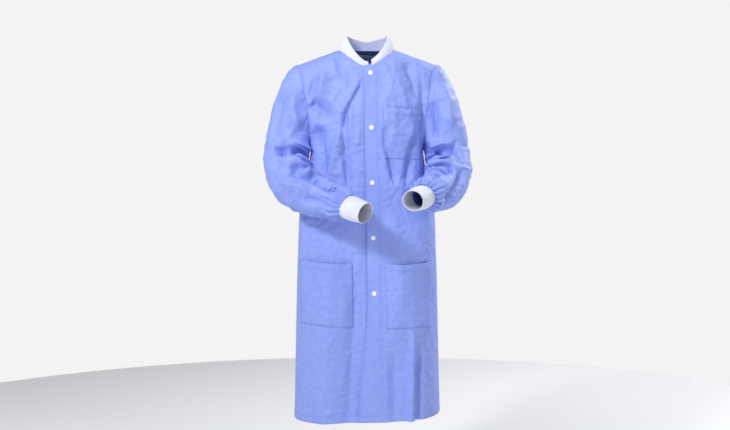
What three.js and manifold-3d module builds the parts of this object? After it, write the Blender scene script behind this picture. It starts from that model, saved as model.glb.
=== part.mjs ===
// Knee-length nonwoven lab coat with knit collar and cuffs, five snaps and three patch pockets,
// in the shape it takes when worn with the forearms brought together in front of the waist.
// Millimetres, +Z up, the front faces -Y, +X is the wearer's left.
// The origin is the middle of the neck opening, level with the shoulder seams.
import * as THREE from 'three';
import { ParametricGeometry } from 'three/addons/geometries/ParametricGeometry.js';
import { mergeVertices } from 'three/addons/utils/BufferGeometryUtils.js';
import Module from 'manifold-3d';

const wasm = await Module();
wasm.setup();

// ---------- driving dimensions ----------
const clothThickness = 1.2;
const seamGap = 0.4;          // clearance between two pieces that are sewn together
const panelGap = 0.7;         // the same between the back and a front, along the side and shoulder seams
const armholeGap = 1.1;       // clearance between a sleeve head and the armhole

const hemZ = -1035;
const hemRise = 9;            // the hem is this much higher on the wearer's left, lower on the right
const underarmZ = -290;
const bodySquareness = 2.6;   // exponent of the body's oval section
// From the hem up to the underarm, at equal steps of height.
const halfWidths = [208, 205, 202, 198, 190, 160];
const frontDepths = [160, 152, 144, 136, 128, 118];
const backDepths = [130, 122, 114, 106, 100, 104];

const shoulderTip = { x: 191, z: -40 };
const neckHalfWidth = 80;
const neckFront = { y: -90, z: -55 };
const neckBack = { y: 60, z: -14 };
const neckHeight = 1.6;       // where the neckline starts, on the scale 1 = underarm, 2 = shoulder seam
const armholeReach = { front: 72, back: 78 };
const armholeBow = { front: 8, back: 4 };

const placket = { halfWidth: 18, topX: 9, slope: 0.017, flare: 30, flareStartZ: -690 };
const snap = { count: 5, firstZ: -72, pitch: 152, capR: 6, ringR: 5.3, pinR: 1, holeR: 1.4, studR: 2, recessR: 4.3 };
const snapGap = 0.3;
const capHeight = 1.9;
const plateThickness = 0.8;
const studHeight = 1;
const recessDepth = 1.2;
const backThickness = 1.1;
// The two fronts lie one over the other at the distance that the closed snaps keep between them.
const socketHeight = plateThickness + recessDepth;
const overlapDepth = clothThickness + socketHeight + plateThickness + 3 * snapGap;

// Widths and places of the pockets are measured straight across the coat.
const lowerPocket = { width: 136, height: 178, topZ: -596, innerX: 44, bulge: 13, gap: 0.8 };
const chestPocket = { width: 104, height: 140, topZ: -168, innerX: 48, bulge: 12, gap: 1.3 };

const collar = { height: 44, frontHeight: 16, lean: 20, thickness: 2, gap: 1.3, endX: { left: 13, right: 4 } };
const cuff = { radius: 32, endRadius: 30, length: 62, thickness: 2 };

const sleeveClearance = 5;    // from a sleeve to the side of the body
const sleeveRadii = [62, 62, 63, 63, 56, 46, cuff.radius + 0.5];
const arms = {
  right: {
    side: -1,
    path: [[-200, -8, -225], [-226, -36, -300], [-208, -92, -370], [-152, -152, -408], [-98, -199, -424],
      [-49, -238, -440]],
  },
  left: {
    side: 1,
    path: [[200, -8, -228], [227, -36, -304], [222, -98, -372], [199, -158, -396], [172, -206, -404],
      [147, -250, -412]],
  },
};
// Shares of the sleeve's length from armhole to cuff.
const headEnd = 0.33;
const elbowStart = 0.36;
const elbowEnd = 0.6;

const finishes = {
  cloth: { color: 0x94aafb, roughness: 0.85, metalness: 0 },
  knit: { color: 0xe9ebf8, roughness: 0.95, metalness: 0 },
  snapPlastic: { color: 0xf2f3f8, roughness: 0.35, metalness: 0 },
};

// ---------- small helpers ----------
const { lerp, smoothstep } = THREE.MathUtils;
const coat = new THREE.Group();

function alongHeights(values, v) {
  // Smooth curve through equally spaced values; v runs from 0 to 1.
  const points = values.map((value, i) => new THREE.Vector2(i, value));
  return new THREE.SplineCurve(points).getPoint(THREE.MathUtils.clamp(v, 0, 1)).y;
}

function addMesh(name, geometry, finish) {
  const mesh = new THREE.Mesh(geometry, new THREE.MeshStandardMaterial(finishes[finish]));
  mesh.name = name;
  coat.add(mesh);
  return mesh;
}

function bare(geometry) {
  geometry.deleteAttribute('normal');
  geometry.deleteAttribute('uv');
  return mergeVertices(geometry, 1e-3);
}

function toSolid(geometry) {
  const merged = bare(geometry.clone());
  const vertProperties = new Float32Array(merged.attributes.position.array);
  const triVerts = new Uint32Array(merged.index.array);
  return new wasm.Manifold(new wasm.Mesh({ numProp: 3, vertProperties, triVerts }));
}

function fromSolid(solid) {
  const mesh = solid.getMesh();
  const geometry = new THREE.BufferGeometry();
  geometry.setAttribute('position', new THREE.BufferAttribute(mesh.vertProperties, 3));
  geometry.setIndex(new THREE.BufferAttribute(mesh.triVerts, 1));
  return geometry;
}

// Makes an open surface into a closed sheet: the inner face lies behind the outer one by the thickness.
function thickSheet(surface, thickness) {
  const outer = bare(surface);
  outer.computeVertexNormals();
  const position = outer.attributes.position;
  const normal = outer.attributes.normal;
  const count = position.count;
  const points = new Float32Array(count * 6);
  for (let i = 0; i < count; i += 1) {
    for (let k = 0; k < 3; k += 1) {
      points[3 * i + k] = position.getComponent(i, k);
      points[3 * (count + i) + k] = position.getComponent(i, k) - thickness * normal.getComponent(i, k);
    }
  }
  const triangles = [];
  const edges = new Set();
  const index = outer.index.array;
  for (let i = 0; i < index.length; i += 3) {
    const [a, b, c] = [index[i], index[i + 1], index[i + 2]];
    triangles.push(a, b, c, count + a, count + c, count + b);
    edges.add(`${a} ${b}`).add(`${b} ${c}`).add(`${c} ${a}`);
  }
  for (const edge of edges) {
    const [a, b] = edge.split(' ').map(Number);
    if (!edges.has(`${b} ${a}`)) triangles.push(b, a, count + a, b, count + a, count + b);
  }
  const geometry = new THREE.BufferGeometry();
  geometry.setAttribute('position', new THREE.BufferAttribute(points, 3));
  geometry.setIndex(triangles);
  return geometry;
}

// A grid surface; flip turns its outer side round.
function gridSurface(pointAt, columns, rows, flip) {
  const place = (u, v, target) => target.copy(pointAt(flip ? 1 - u : u, v));
  return new ParametricGeometry(place, columns, rows);
}

// ---------- the body's shape ----------
function hemAt(x) {
  return hemZ + hemRise * (x / halfWidths[0]);
}

function placketX(z) {
  return placket.topX + placket.slope * (neckFront.z - z);
}

function armholePoint(side, angle) {
  // angle 0 at the shoulder tip, half a turn at the underarm, positive round the front
  const down = (1 - Math.cos(angle)) / 2;
  const round = Math.sin(angle);
  const isFront = round > 0;
  const bow = (isFront ? armholeBow.front : armholeBow.back) * round * round;
  const reach = isFront ? armholeReach.front : armholeReach.back;
  const x = side * (lerp(shoulderTip.x, halfWidths.at(-1), down) - bow);
  return new THREE.Vector3(x, -reach * round, lerp(shoulderTip.z, underarmZ, down));
}

function necklineAt(x, isFront, lift) {
  const share = Math.min(Math.abs(x) / neckHalfWidth, 1);
  const start = isFront ? neckFront : neckBack;
  const y = (start.y - lift) * Math.sqrt(1 - share * share);
  return new THREE.Vector3(x, y, start.z * (1 - share ** 1.3));
}

// The inner edge of a half panel: a vertical line up to the neck, then the neckline to the shoulder.
function innerEdge(side, isFront, startX, lift, v) {
  if (v > neckHeight) {
    const turn = ((v - neckHeight) / (2 - neckHeight)) * (Math.PI / 2);
    const first = side * startX(neckFront.z);
    return necklineAt(side * lerp(first, neckHalfWidth, Math.sin(turn)), isFront, lift);
  }
  const depths = isFront ? frontDepths : backDepths;
  const facing = isFront ? -1 : 1;
  const neckPoint = necklineAt(startX(neckFront.z), isFront, lift);
  if (v > 1) {
    const climb = (v - 1) / (neckHeight - 1);
    const z = lerp(underarmZ, neckPoint.z, climb);
    const fullness = Math.cos((climb * Math.PI) / 2);
    const y = lerp(neckPoint.y, facing * depths.at(-1) - lift, fullness);
    return new THREE.Vector3(startX(z), y, z);
  }
  const hemEnd = hemAt(startX(hemZ));
  const z = lerp(hemEnd, underarmZ, v);
  return new THREE.Vector3(startX(z), facing * alongHeights(depths, v) - lift, z);
}

function outerEdge(side, isFront, v) {
  if (v > 1) return armholePoint(side, (isFront ? 1 : -1) * Math.PI * (2 - v));
  const x = side * alongHeights(halfWidths, v);
  return new THREE.Vector3(x, 0, lerp(hemAt(x), underarmZ, v));
}

// q runs straight across from the inner edge to the side seam or the armhole.
function panelPointAcross(side, isFront, startX, lift, q, v) {
  const inner = innerEdge(side, isFront, startX, lift, v);
  const outer = outerEdge(side, isFront, v);
  const oval = 1 - (1 - q ** bodySquareness) ** (1 / bodySquareness);
  const across = lerp(oval, q ** 2.4, smoothstep(v, 1, 1.3));
  const seam = (isFront ? -1 : 1) * (panelGap / 2);
  const y = lerp(inner.y, outer.y, across) + seam;
  return new THREE.Vector3(lerp(inner.x, outer.x, q), y, lerp(inner.z, outer.z, q));
}

function panelPoint(side, isFront, startX, lift, u, v) {
  const q = Math.sin((u * Math.PI) / 2) ** (2 / bodySquareness);
  return panelPointAcross(side, isFront, startX, lift, lerp(q, u, 0.15 * smoothstep(v, 1, 1.3)), v);
}

const startOfPanel = {
  left: (z) => placketX(z) + placket.halfWidth + seamGap / 2,
  right: (z) => placketX(z) - placket.halfWidth - seamGap / 2,
  back: () => 0,
};
const liftOf = { left: overlapDepth, right: 0, back: 0 };

// ---------- the body's panels ----------
// The armhole's corners are shared: the rows of a panel's upper part go round half a sleeve head.
const sleeveColumns = 20;
const yokeRows = sleeveColumns / 2;
const skirtRows = 14;
const panelColumns = 8;
const panelRows = skirtRows + yokeRows;
const segments = 10;          // sides of a round snap piece

// Turns a share of all the rows into the panel's own scale: 0 hem, 1 underarm, 2 shoulder seam.
function panelHeight(share) {
  const row = share * panelRows;
  return row < skirtRows ? row / skirtRows : 1 + (row - skirtRows) / yokeRows;
}

function frontPanel(name) {
  const side = name === 'left' ? 1 : -1;
  const start = startOfPanel[name];
  const pointAt = (u, v) => panelPoint(side, true, start, liftOf[name], u, panelHeight(v));
  const surface = gridSurface(pointAt, panelColumns, panelRows, side < 0);
  addMesh(`${name}_front_panel`, thickSheet(surface, clothThickness), 'cloth');
}

function backPanel() {
  const halves = [-1, 1].map((side) => {
    const pointAt = (u, v) => panelPoint(side, false, startOfPanel.back, 0, u, panelHeight(v));
    return bare(gridSurface(pointAt, panelColumns, panelRows, side > 0));
  });
  const points = [];
  const index = [];
  for (const half of halves) {
    const offset = points.length / 3;
    points.push(...half.attributes.position.array);
    index.push(...Array.from(half.index.array, (i) => i + offset));
  }
  const both = new THREE.BufferGeometry();
  both.setAttribute('position', new THREE.Float32BufferAttribute(points, 3));
  both.setIndex(index);
  addMesh('back_panel', thickSheet(mergeVertices(both, 1e-3), clothThickness), 'cloth');
}

// ---------- placket strips and snaps ----------
function stripPoint(name, u, v) {
  // u from the wearer's left to right; v up to the neckline
  const lift = liftOf[name];
  const middle = innerEdge(1, true, placketX, lift, v * neckHeight);
  const reach = placket.halfWidth - seamGap / 2;
  const left = middle.x + (name === 'left' ? reach : placket.halfWidth);
  const flare = name === 'left' ? placket.flare * smoothstep(placket.flareStartZ - middle.z, 0, 345) : 0;
  const right = middle.x - (name === 'left' ? placket.halfWidth : reach) - flare;
  return new THREE.Vector3(lerp(left, right, u), middle.y - panelGap / 2, middle.z);
}

function snapFrames() {
  const frames = [];
  for (let i = 0; i < snap.count; i += 1) {
    const z = snap.firstZ - i * snap.pitch;
    const at = new THREE.Vector3(placketX(z), 0, z);
    let low = 0;
    let high = 1;
    for (let step = 0; step < 40; step += 1) {
      const v = (low + high) / 2;
      if (stripPoint('left', 0.5, v).z < z) low = v;
      else high = v;
    }
    const here = stripPoint('left', 0.5, low);
    const below = stripPoint('left', 0.5, low - 0.01);
    const above = stripPoint('left', 0.5, low + 0.01);
    at.y = here.y;
    const up = above.sub(below).setX(0).normalize();
    const outward = new THREE.Vector3(0, -up.z, up.y);
    frames.push({ at, turn: new THREE.Quaternion().setFromUnitVectors(new THREE.Vector3(0, 0, 1), outward) });
  }
  return frames;
}

// A turned piece whose axis is +Z; the profile is a list of [radius, height].
function turned(profile) {
  const points = profile.map(([r, z]) => new THREE.Vector2(r, z));
  return new THREE.LatheGeometry(points, segments).rotateX(Math.PI / 2);
}

function placketStrip(name, frames) {
  const surface = gridSurface((u, v) => stripPoint(name, u, v), 3, 22, true);
  let solid = toSolid(thickSheet(surface, clothThickness));
  const reach = 30;
  for (const { at, turn } of frames) {
    const drill = new THREE.CylinderGeometry(snap.holeR, snap.holeR, reach, segments).rotateX(Math.PI / 2);
    drill.applyQuaternion(turn).translate(at.x, at.y, at.z);
    solid = solid.subtract(toSolid(drill));
  }
  addMesh(`${name}_placket`, fromSolid(solid), 'cloth');
}

// Heights of the stack, measured outward from the outer face of the left placket.
const socketTop = -clothThickness - snapGap;
const studTop = socketTop - socketHeight - snapGap;
const backTop = -overlapDepth - clothThickness - snapGap;

const snapProfiles = {
  cap: [[0, socketTop - plateThickness], [snap.pinR, socketTop - plateThickness], [snap.pinR, snapGap],
    [snap.capR, snapGap], [snap.capR - 0.4, snapGap + 0.6 * capHeight], [3.5, snapGap + capHeight],
    [0, snapGap + capHeight]],
  socket: [[snap.holeR, socketTop - plateThickness], [snap.recessR, socketTop - plateThickness],
    [snap.recessR, socketTop - socketHeight], [snap.ringR, socketTop - socketHeight],
    [snap.ringR, socketTop], [snap.holeR, socketTop], [snap.holeR, socketTop - plateThickness]],
  stud: [[snap.holeR, studTop - plateThickness], [snap.ringR, studTop - plateThickness],
    [snap.ringR, studTop], [snap.studR, studTop], [snap.studR, studTop + studHeight],
    [snap.holeR, studTop + studHeight], [snap.holeR, studTop - plateThickness]],
  back: [[0, backTop - backThickness], [snap.ringR, backTop - backThickness], [snap.ringR, backTop],
    [snap.pinR, backTop], [snap.pinR, studTop], [0, studTop]],
};

function snaps(frames) {
  frames.forEach(({ at, turn }, i) => {
    const group = new THREE.Group();
    group.position.copy(at);
    group.quaternion.copy(turn);
    for (const [piece, profile] of Object.entries(snapProfiles)) {
      group.add(addMesh(`snap_${piece}_${i + 1}`, turned(profile), 'snapPlastic'));
    }
    coat.add(group);
  });
}

// ---------- pockets ----------
function surfaceAt(name, x, z) {
  const side = name === 'left' ? 1 : -1;
  let low = 0;
  let high = 2;
  let point;
  for (let step = 0; step < 40; step += 1) {
    const v = (low + high) / 2;
    const inner = innerEdge(side, true, startOfPanel[name], liftOf[name], v);
    const outer = outerEdge(side, true, v);
    const q = THREE.MathUtils.clamp((x - inner.x) / (outer.x - inner.x), 0, 1);
    point = panelPointAcross(side, true, startOfPanel[name], liftOf[name], q, v);
    if (point.z < z) low = v;
    else high = v;
  }
  return point;
}

function pocketPoint(name, pocket, u, v) {
  const side = name === 'left' ? 1 : -1;
  const x = side * (pocket.innerX + u * pocket.width);
  const z = pocket.topZ - (1 - v) * pocket.height;
  const here = surfaceAt(name, x, z);
  const step = 2;
  const alongX = surfaceAt(name, x + side * step, z).sub(surfaceAt(name, x - side * step, z));
  const alongZ = surfaceAt(name, x, z + step).sub(surfaceAt(name, x, z - step));
  const outward = alongX.cross(alongZ).multiplyScalar(side).normalize();
  const rise = Math.sin(u * Math.PI) ** 0.7 * Math.sin((v * Math.PI) / 2) ** 0.7;
  return here.addScaledVector(outward, clothThickness + pocket.gap + pocket.bulge * rise);
}

function patchPocket(nodeName, name, pocket) {
  const surface = gridSurface((u, v) => pocketPoint(name, pocket, u, v), 9, 8, name === 'right');
  addMesh(nodeName, thickSheet(surface, clothThickness), 'cloth');
}

// ---------- collar ----------
function collarPoint(u, v) {
  // u goes once round the neck, from the left front edge over the back to the right front edge
  const round = (u - 0.5) * 2;
  const isFront = Math.abs(round) > 0.5;
  const side = round < 0 ? 1 : -1;
  const endX = side > 0 ? collar.endX.left : -collar.endX.right;
  const startAngle = Math.asin(endX / neckHalfWidth);
  const turn = isFront ? lerp(Math.PI / 2, startAngle, (Math.abs(round) - 0.5) * 2) : Math.abs(round) * Math.PI;
  const x = side * neckHalfWidth * Math.sin(turn);
  const base = necklineAt(x, isFront, side > 0 && isFront ? overlapDepth : 0);
  const taper = smoothstep(Math.abs(round), 0.45, 1);
  const height = lerp(collar.height, collar.frontHeight, taper);
  const lean = (collar.lean * v * height) / collar.height;
  const centre = new THREE.Vector3(0, (neckFront.y + neckBack.y) / 2, 0);
  const inward = centre.sub(base).setZ(0).normalize();
  const placketTop = necklineAt(placketX(neckFront.z), true, 0).z;
  const bottom = (isFront ? Math.max(base.z, placketTop) : base.z) + collar.gap;
  return base.addScaledVector(inward, lean).setZ(bottom + v * height);
}

function makeCollar() {
  const surface = gridSurface(collarPoint, 26, 3, false);
  addMesh('collar', thickSheet(surface, collar.thickness), 'knit');
}

// ---------- sleeves and cuffs ----------
function bodyAllows(point) {
  // Moves a point out of the body's side, if it lies in it or closer than the clearance.
  const height = THREE.MathUtils.clamp((point.z - hemZ) / (underarmZ - hemZ), 0, 1);
  const halfWidth = alongHeights(halfWidths, height) + sleeveClearance;
  const depths = point.y < 0 ? frontDepths : backDepths;
  const depth = alongHeights(depths, height) + sleeveClearance + (point.y < 0 ? overlapDepth : 0);
  const p = bodySquareness;
  const size = ((Math.abs(point.x) / halfWidth) ** p + (Math.abs(point.y) / depth) ** p) ** (1 / p);
  if (size < 1) point.set(point.x / size, point.y / size, point.z);
  return point;
}

function sleeveRings(arm, count) {
  const centre = new THREE.Vector3()
    .addVectors(armholePoint(arm.side, 0), armholePoint(arm.side, Math.PI))
    .multiplyScalar(0.5);
  const path = new THREE.CatmullRomCurve3([centre, ...arm.path.map((p) => new THREE.Vector3(...p))]);
  const rings = [];
  const out = new THREE.Vector3(0, 0, 1);
  for (let i = 0; i <= count; i += 1) {
    const tangent = path.getTangent(i / count);
    out.addScaledVector(tangent, -out.dot(tangent)).normalize();
    const front = new THREE.Vector3().crossVectors(tangent, out).multiplyScalar(arm.side);
    rings.push({ centre: path.getPoint(i / count), tangent, out: out.clone(), front });
  }
  return rings;
}

const ringSteps = 60;
for (const arm of Object.values(arms)) arm.rings = sleeveRings(arm, ringSteps);

function tubePoint(arm, angle, w) {
  const index = Math.min(Math.floor(w * ringSteps), ringSteps - 1);
  const mix = w * ringSteps - index;
  const [a, b] = [arm.rings[index], arm.rings[index + 1]];
  const radius = alongHeights(sleeveRadii, w);
  const out = a.out.clone().lerp(b.out, mix).normalize();
  const front = a.front.clone().lerp(b.front, mix).normalize();
  return a.centre.clone().lerp(b.centre, mix)
    .addScaledVector(out, radius * Math.cos(angle))
    .addScaledVector(front, radius * Math.sin(angle));
}

function sleevePoint(arm, turn, w) {
  const angle = turn * 2 * Math.PI;
  if (w >= headEnd) return bodyAllows(tubePoint(arm, angle, w));
  // The sleeve head leaves the armhole sideways and turns down into the tube.
  const tube = bodyAllows(tubePoint(arm, angle, headEnd));
  const head = armholePoint(arm.side, angle);
  head.x += arm.side * armholeGap;
  const share = w / headEnd;
  const outwards = lerp(share, Math.sin((share * Math.PI) / 2), 0.6);
  const downwards = 1 - Math.cos((share * Math.PI) / 2);
  head.x = lerp(head.x, tube.x, outwards);
  head.y = lerp(head.y, tube.y, downwards);
  head.z = lerp(head.z, tube.z, downwards);
  return head;
}

function sleevePiece(nodeName, arm, from, to, rows) {
  const pointAt = (u, v) => sleevePoint(arm, u, lerp(from, to, v));
  const surface = gridSurface(pointAt, sleeveColumns, rows, arm.side < 0);
  addMesh(nodeName, thickSheet(surface, clothThickness), 'cloth');
}

function sleeve(name, arm) {
  const trim = 0.0012;        // half of a seam gap as a share of the sleeve's length
  sleevePiece(`${name}_sleeve_upper`, arm, 0, elbowStart - trim, 6);
  sleevePiece(`${name}_sleeve_elbow`, arm, elbowStart, elbowEnd, 4);
  sleevePiece(`${name}_sleeve_lower`, arm, elbowEnd + trim, 1, 6);
}

function knitCuff(name, arm) {
  const wrist = arm.rings.at(-1);
  const pointAt = (u, v) => {
    const angle = u * 2 * Math.PI;
    const radius = lerp(cuff.radius, cuff.endRadius, v);
    return wrist.centre.clone()
      .addScaledVector(wrist.tangent, seamGap + v * cuff.length)
      .addScaledVector(wrist.out, radius * Math.cos(angle))
      .addScaledVector(wrist.front, radius * Math.sin(angle));
  };
  const surface = gridSurface(pointAt, sleeveColumns, 3, arm.side < 0);
  addMesh(`${name}_cuff`, thickSheet(surface, cuff.thickness), 'knit');
}

// ---------- the coat ----------
backPanel();
frontPanel('left');
frontPanel('right');
const frames = snapFrames();
placketStrip('left', frames);
placketStrip('right', frames);
snaps(frames);
patchPocket('chest_pocket', 'left', chestPocket);
patchPocket('left_lower_pocket', 'left', lowerPocket);
patchPocket('right_lower_pocket', 'right', lowerPocket);
makeCollar();
for (const [name, arm] of Object.entries(arms)) {
  sleeve(name, arm);
  knitCuff(name, arm);
}

export default coat;
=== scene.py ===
import math

import bpy
import numpy as np
from mathutils import Matrix, Vector
from mathutils.bvhtree import BVHTree


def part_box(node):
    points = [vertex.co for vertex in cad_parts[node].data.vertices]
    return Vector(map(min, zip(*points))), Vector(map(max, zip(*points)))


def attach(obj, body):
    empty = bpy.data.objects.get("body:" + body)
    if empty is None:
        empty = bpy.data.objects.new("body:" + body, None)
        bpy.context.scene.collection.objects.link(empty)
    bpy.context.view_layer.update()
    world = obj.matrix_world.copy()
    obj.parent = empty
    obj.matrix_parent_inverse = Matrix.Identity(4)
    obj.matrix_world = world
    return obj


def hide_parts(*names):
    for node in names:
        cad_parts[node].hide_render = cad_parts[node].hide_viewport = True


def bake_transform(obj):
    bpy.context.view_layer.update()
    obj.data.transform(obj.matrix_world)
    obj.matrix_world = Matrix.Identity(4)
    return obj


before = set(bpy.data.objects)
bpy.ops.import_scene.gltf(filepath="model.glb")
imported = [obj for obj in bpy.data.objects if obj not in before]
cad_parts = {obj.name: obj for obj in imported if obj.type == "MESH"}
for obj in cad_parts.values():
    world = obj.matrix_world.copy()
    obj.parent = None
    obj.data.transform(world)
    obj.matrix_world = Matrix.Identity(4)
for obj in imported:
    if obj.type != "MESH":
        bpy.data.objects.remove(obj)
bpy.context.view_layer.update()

print("frame loaded:", len(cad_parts), "nodes")


def toLinear(hexColour, alpha=1.0):
    channels = [int(hexColour[i:i + 2], 16) / 255 for i in (1, 3, 5)]
    linear = [c / 12.92 if c <= 0.04045 else ((c + 0.055) / 1.055) ** 2.4 for c in channels]
    return (*linear, alpha)


def mix(a, b, share):
    return a + (b - a) * share


def ease(value, low, high):
    t = np.clip((value - low) / (high - low), 0, 1)
    return t * t * (3 - 2 * t)


def alongHeights(values, v):
    # smooth curve through equally spaced values, v from 0 to 1
    values = np.asarray(values, float)
    last = len(values) - 1
    place = np.clip(v, 0, 1) * last
    i = np.clip(np.floor(place).astype(int), 0, last - 1)
    t = place - i
    before = values[np.maximum(i - 1, 0)]
    after = values[np.minimum(i + 2, last)]
    here, there = values[i], values[i + 1]
    slopeA, slopeB = (there - before) / 2, (after - here) / 2
    if values.ndim > 1:
        t = t[..., None]
    cubic = (2 * here - 2 * there + slopeA + slopeB) * t ** 3
    square = (-3 * here + 3 * there - 2 * slopeA - slopeB) * t ** 2
    return cubic + square + slopeA * t + here


def unit(vectors):
    return vectors / np.maximum(np.linalg.norm(vectors, axis=-1, keepdims=True), 1e-9)


def deselectAll():
    if bpy.context.object and bpy.context.object.mode != "OBJECT":
        bpy.ops.object.mode_set(mode="OBJECT")
    bpy.ops.object.select_all(action="DESELECT")


def makeActive(piece):
    deselectAll()
    piece.hide_set(False)
    piece.select_set(True)
    bpy.context.view_layer.objects.active = piece


def applyModifiers(piece):
    makeActive(piece)
    for modifier in list(piece.modifiers):
        bpy.ops.object.modifier_apply(modifier=modifier.name)


# the same driving sizes as the CAD part, in metres
coat = {
    "hemZ": -1.035,
    "hemRise": 0.009,             # the hem climbs towards the wearer's left
    "underarmZ": -0.290,
    "squareness": 2.6,            # exponent of the body's oval section
    "halfWidths": [0.208, 0.205, 0.202, 0.198, 0.190, 0.160],   # hem to underarm
    "frontDepths": [0.160, 0.152, 0.144, 0.136, 0.128, 0.118],
    "backDepths": [0.130, 0.122, 0.114, 0.106, 0.100, 0.104],
    "shoulderTip": (0.191, -0.040),
    "neckHalfWidth": 0.080,
    "neckFront": (-0.090, -0.055),
    "neckBack": (0.060, -0.014),
    "neckHeight": 1.6,            # 1 is the underarm, 2 the shoulder seam
    "reachFront": 0.072,
    "reachBack": 0.078,
    "bowFront": 0.008,
    "bowBack": 0.004,
}
placket = {
    "halfWidth": 0.018,
    "topX": 0.009,
    "slope": 0.017,
    "flare": 0.030,
    "flareStartZ": -0.690,
    "lift": 0.005,                # the left front lies this far over the right
}


def hemAt(x):
    return coat["hemZ"] + coat["hemRise"] * x / coat["halfWidths"][0]


def placketX(z):
    return placket["topX"] + placket["slope"] * (coat["neckFront"][1] - z)


def armholePoint(side, angle):
    down = (1 - np.cos(angle)) / 2
    turn = np.sin(angle)
    bow = np.where(turn > 0, coat["bowFront"], coat["bowBack"]) * turn ** 2
    reach = np.where(turn > 0, coat["reachFront"], coat["reachBack"])
    x = side * (mix(coat["shoulderTip"][0], coat["halfWidths"][-1], down) - bow)
    return np.stack([x, -reach * turn, mix(coat["shoulderTip"][1], coat["underarmZ"], down)], -1)


def necklineAt(x, isFront, lift):
    share = np.minimum(np.abs(x) / coat["neckHalfWidth"], 1)
    startY, startZ = coat["neckFront"] if isFront else coat["neckBack"]
    y = (startY - lift) * np.sqrt(np.maximum(1 - share ** 2, 0))
    return np.stack([x, y, startZ * (1 - share ** 1.3)], -1)


def innerEdge(side, isFront, startX, lift, v):
    neckAt = coat["neckHeight"]
    depths = coat["frontDepths"] if isFront else coat["backDepths"]
    facing = -1 if isFront else 1
    first = startX(coat["neckFront"][1])
    turn = np.clip((v - neckAt) / (2 - neckAt), 0, 1) * math.pi / 2
    aroundNeck = necklineAt(side * mix(side * first, coat["neckHalfWidth"], np.sin(turn)), isFront, lift)
    neckPoint = necklineAt(np.array(first), isFront, lift)
    climb = np.clip((v - 1) / (neckAt - 1), 0, 1)
    chestZ = mix(coat["underarmZ"], neckPoint[2], climb)
    chestY = mix(neckPoint[1], facing * depths[-1] - lift, np.cos(climb * math.pi / 2))
    chest = np.stack([startX(chestZ), chestY, chestZ], -1)
    skirtZ = mix(hemAt(startX(coat["hemZ"])), coat["underarmZ"], v)
    skirt = np.stack([startX(skirtZ), facing * alongHeights(depths, v) - lift, skirtZ], -1)
    v = v[..., None]
    return np.where(v > neckAt, aroundNeck, np.where(v > 1, chest, skirt))


def outerEdge(side, isFront, v):
    onArmhole = armholePoint(side, (1 if isFront else -1) * math.pi * (2 - np.maximum(v, 1)))
    x = side * alongHeights(coat["halfWidths"], v)
    onSeam = np.stack([x, np.zeros_like(x), mix(hemAt(x), coat["underarmZ"], v)], -1)
    return np.where(v[..., None] > 1, onArmhole, onSeam)


def panelAcross(side, isFront, startX, lift, q, v):
    inner = innerEdge(side, isFront, startX, lift, v)
    outer = outerEdge(side, isFront, v)
    p = coat["squareness"]
    oval = 1 - np.maximum(1 - q ** p, 0) ** (1 / p)
    across = mix(oval, q ** 2.4, ease(v, 1, 1.3))
    y = mix(inner[..., 1], outer[..., 1], across)
    return np.stack([mix(inner[..., 0], outer[..., 0], q), y, mix(inner[..., 2], outer[..., 2], q)], -1)


def shareAcross(u, v):
    q = np.sin(u * math.pi / 2) ** (2 / coat["squareness"])
    return mix(q, u, 0.15 * ease(v, 1, 1.3))


startOf = {
    "left": lambda z: placketX(z) + placket["halfWidth"],
    "right": lambda z: placketX(z) - placket["halfWidth"],
    "back": lambda z: np.zeros_like(z),
}


def gridNormals(points, outward):
    alongU = np.gradient(points, axis=1)
    alongV = np.gradient(points, axis=0)
    return unit(np.cross(alongU, alongV)) * outward


def foldHeight(x, z, path, widths, height, ends=(0.25, 0.25)):
    # a ridge or a valley along a path in the front view; widths are those of its two flanks
    path = np.asarray(path, float)
    lengths = np.linalg.norm(np.diff(path, axis=0), axis=1)
    total = lengths.sum()
    nearest = np.full(x.shape, 1e9)
    signed = np.zeros(x.shape)
    along = np.zeros(x.shape)
    run = 0.0
    for a, b, length in zip(path[:-1], path[1:], lengths):
        d = (b - a) / length
        t = np.clip((x - a[0]) * d[0] + (z - a[1]) * d[1], 0, length)
        dx, dz = x - a[0] - t * d[0], z - a[1] - t * d[1]
        distance = np.hypot(dx, dz)
        closer = distance < nearest
        side = np.where(dx * d[1] - dz * d[0] > 0, 1, -1)
        signed = np.where(closer, distance * side, signed)
        along = np.where(closer, (run + t) / total, along)
        nearest = np.where(closer, distance, nearest)
        run += length
    width = np.where(signed > 0, widths[0], widths[1])
    fade = ease(along, -0.001, ends[0]) * (1 - ease(along, 1 - ends[1], 1.001))
    # the crest is sharper than a round wave, as the cloth is papery
    return height * fade * np.exp(-(np.abs(signed) / width) ** 1.5)


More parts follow.
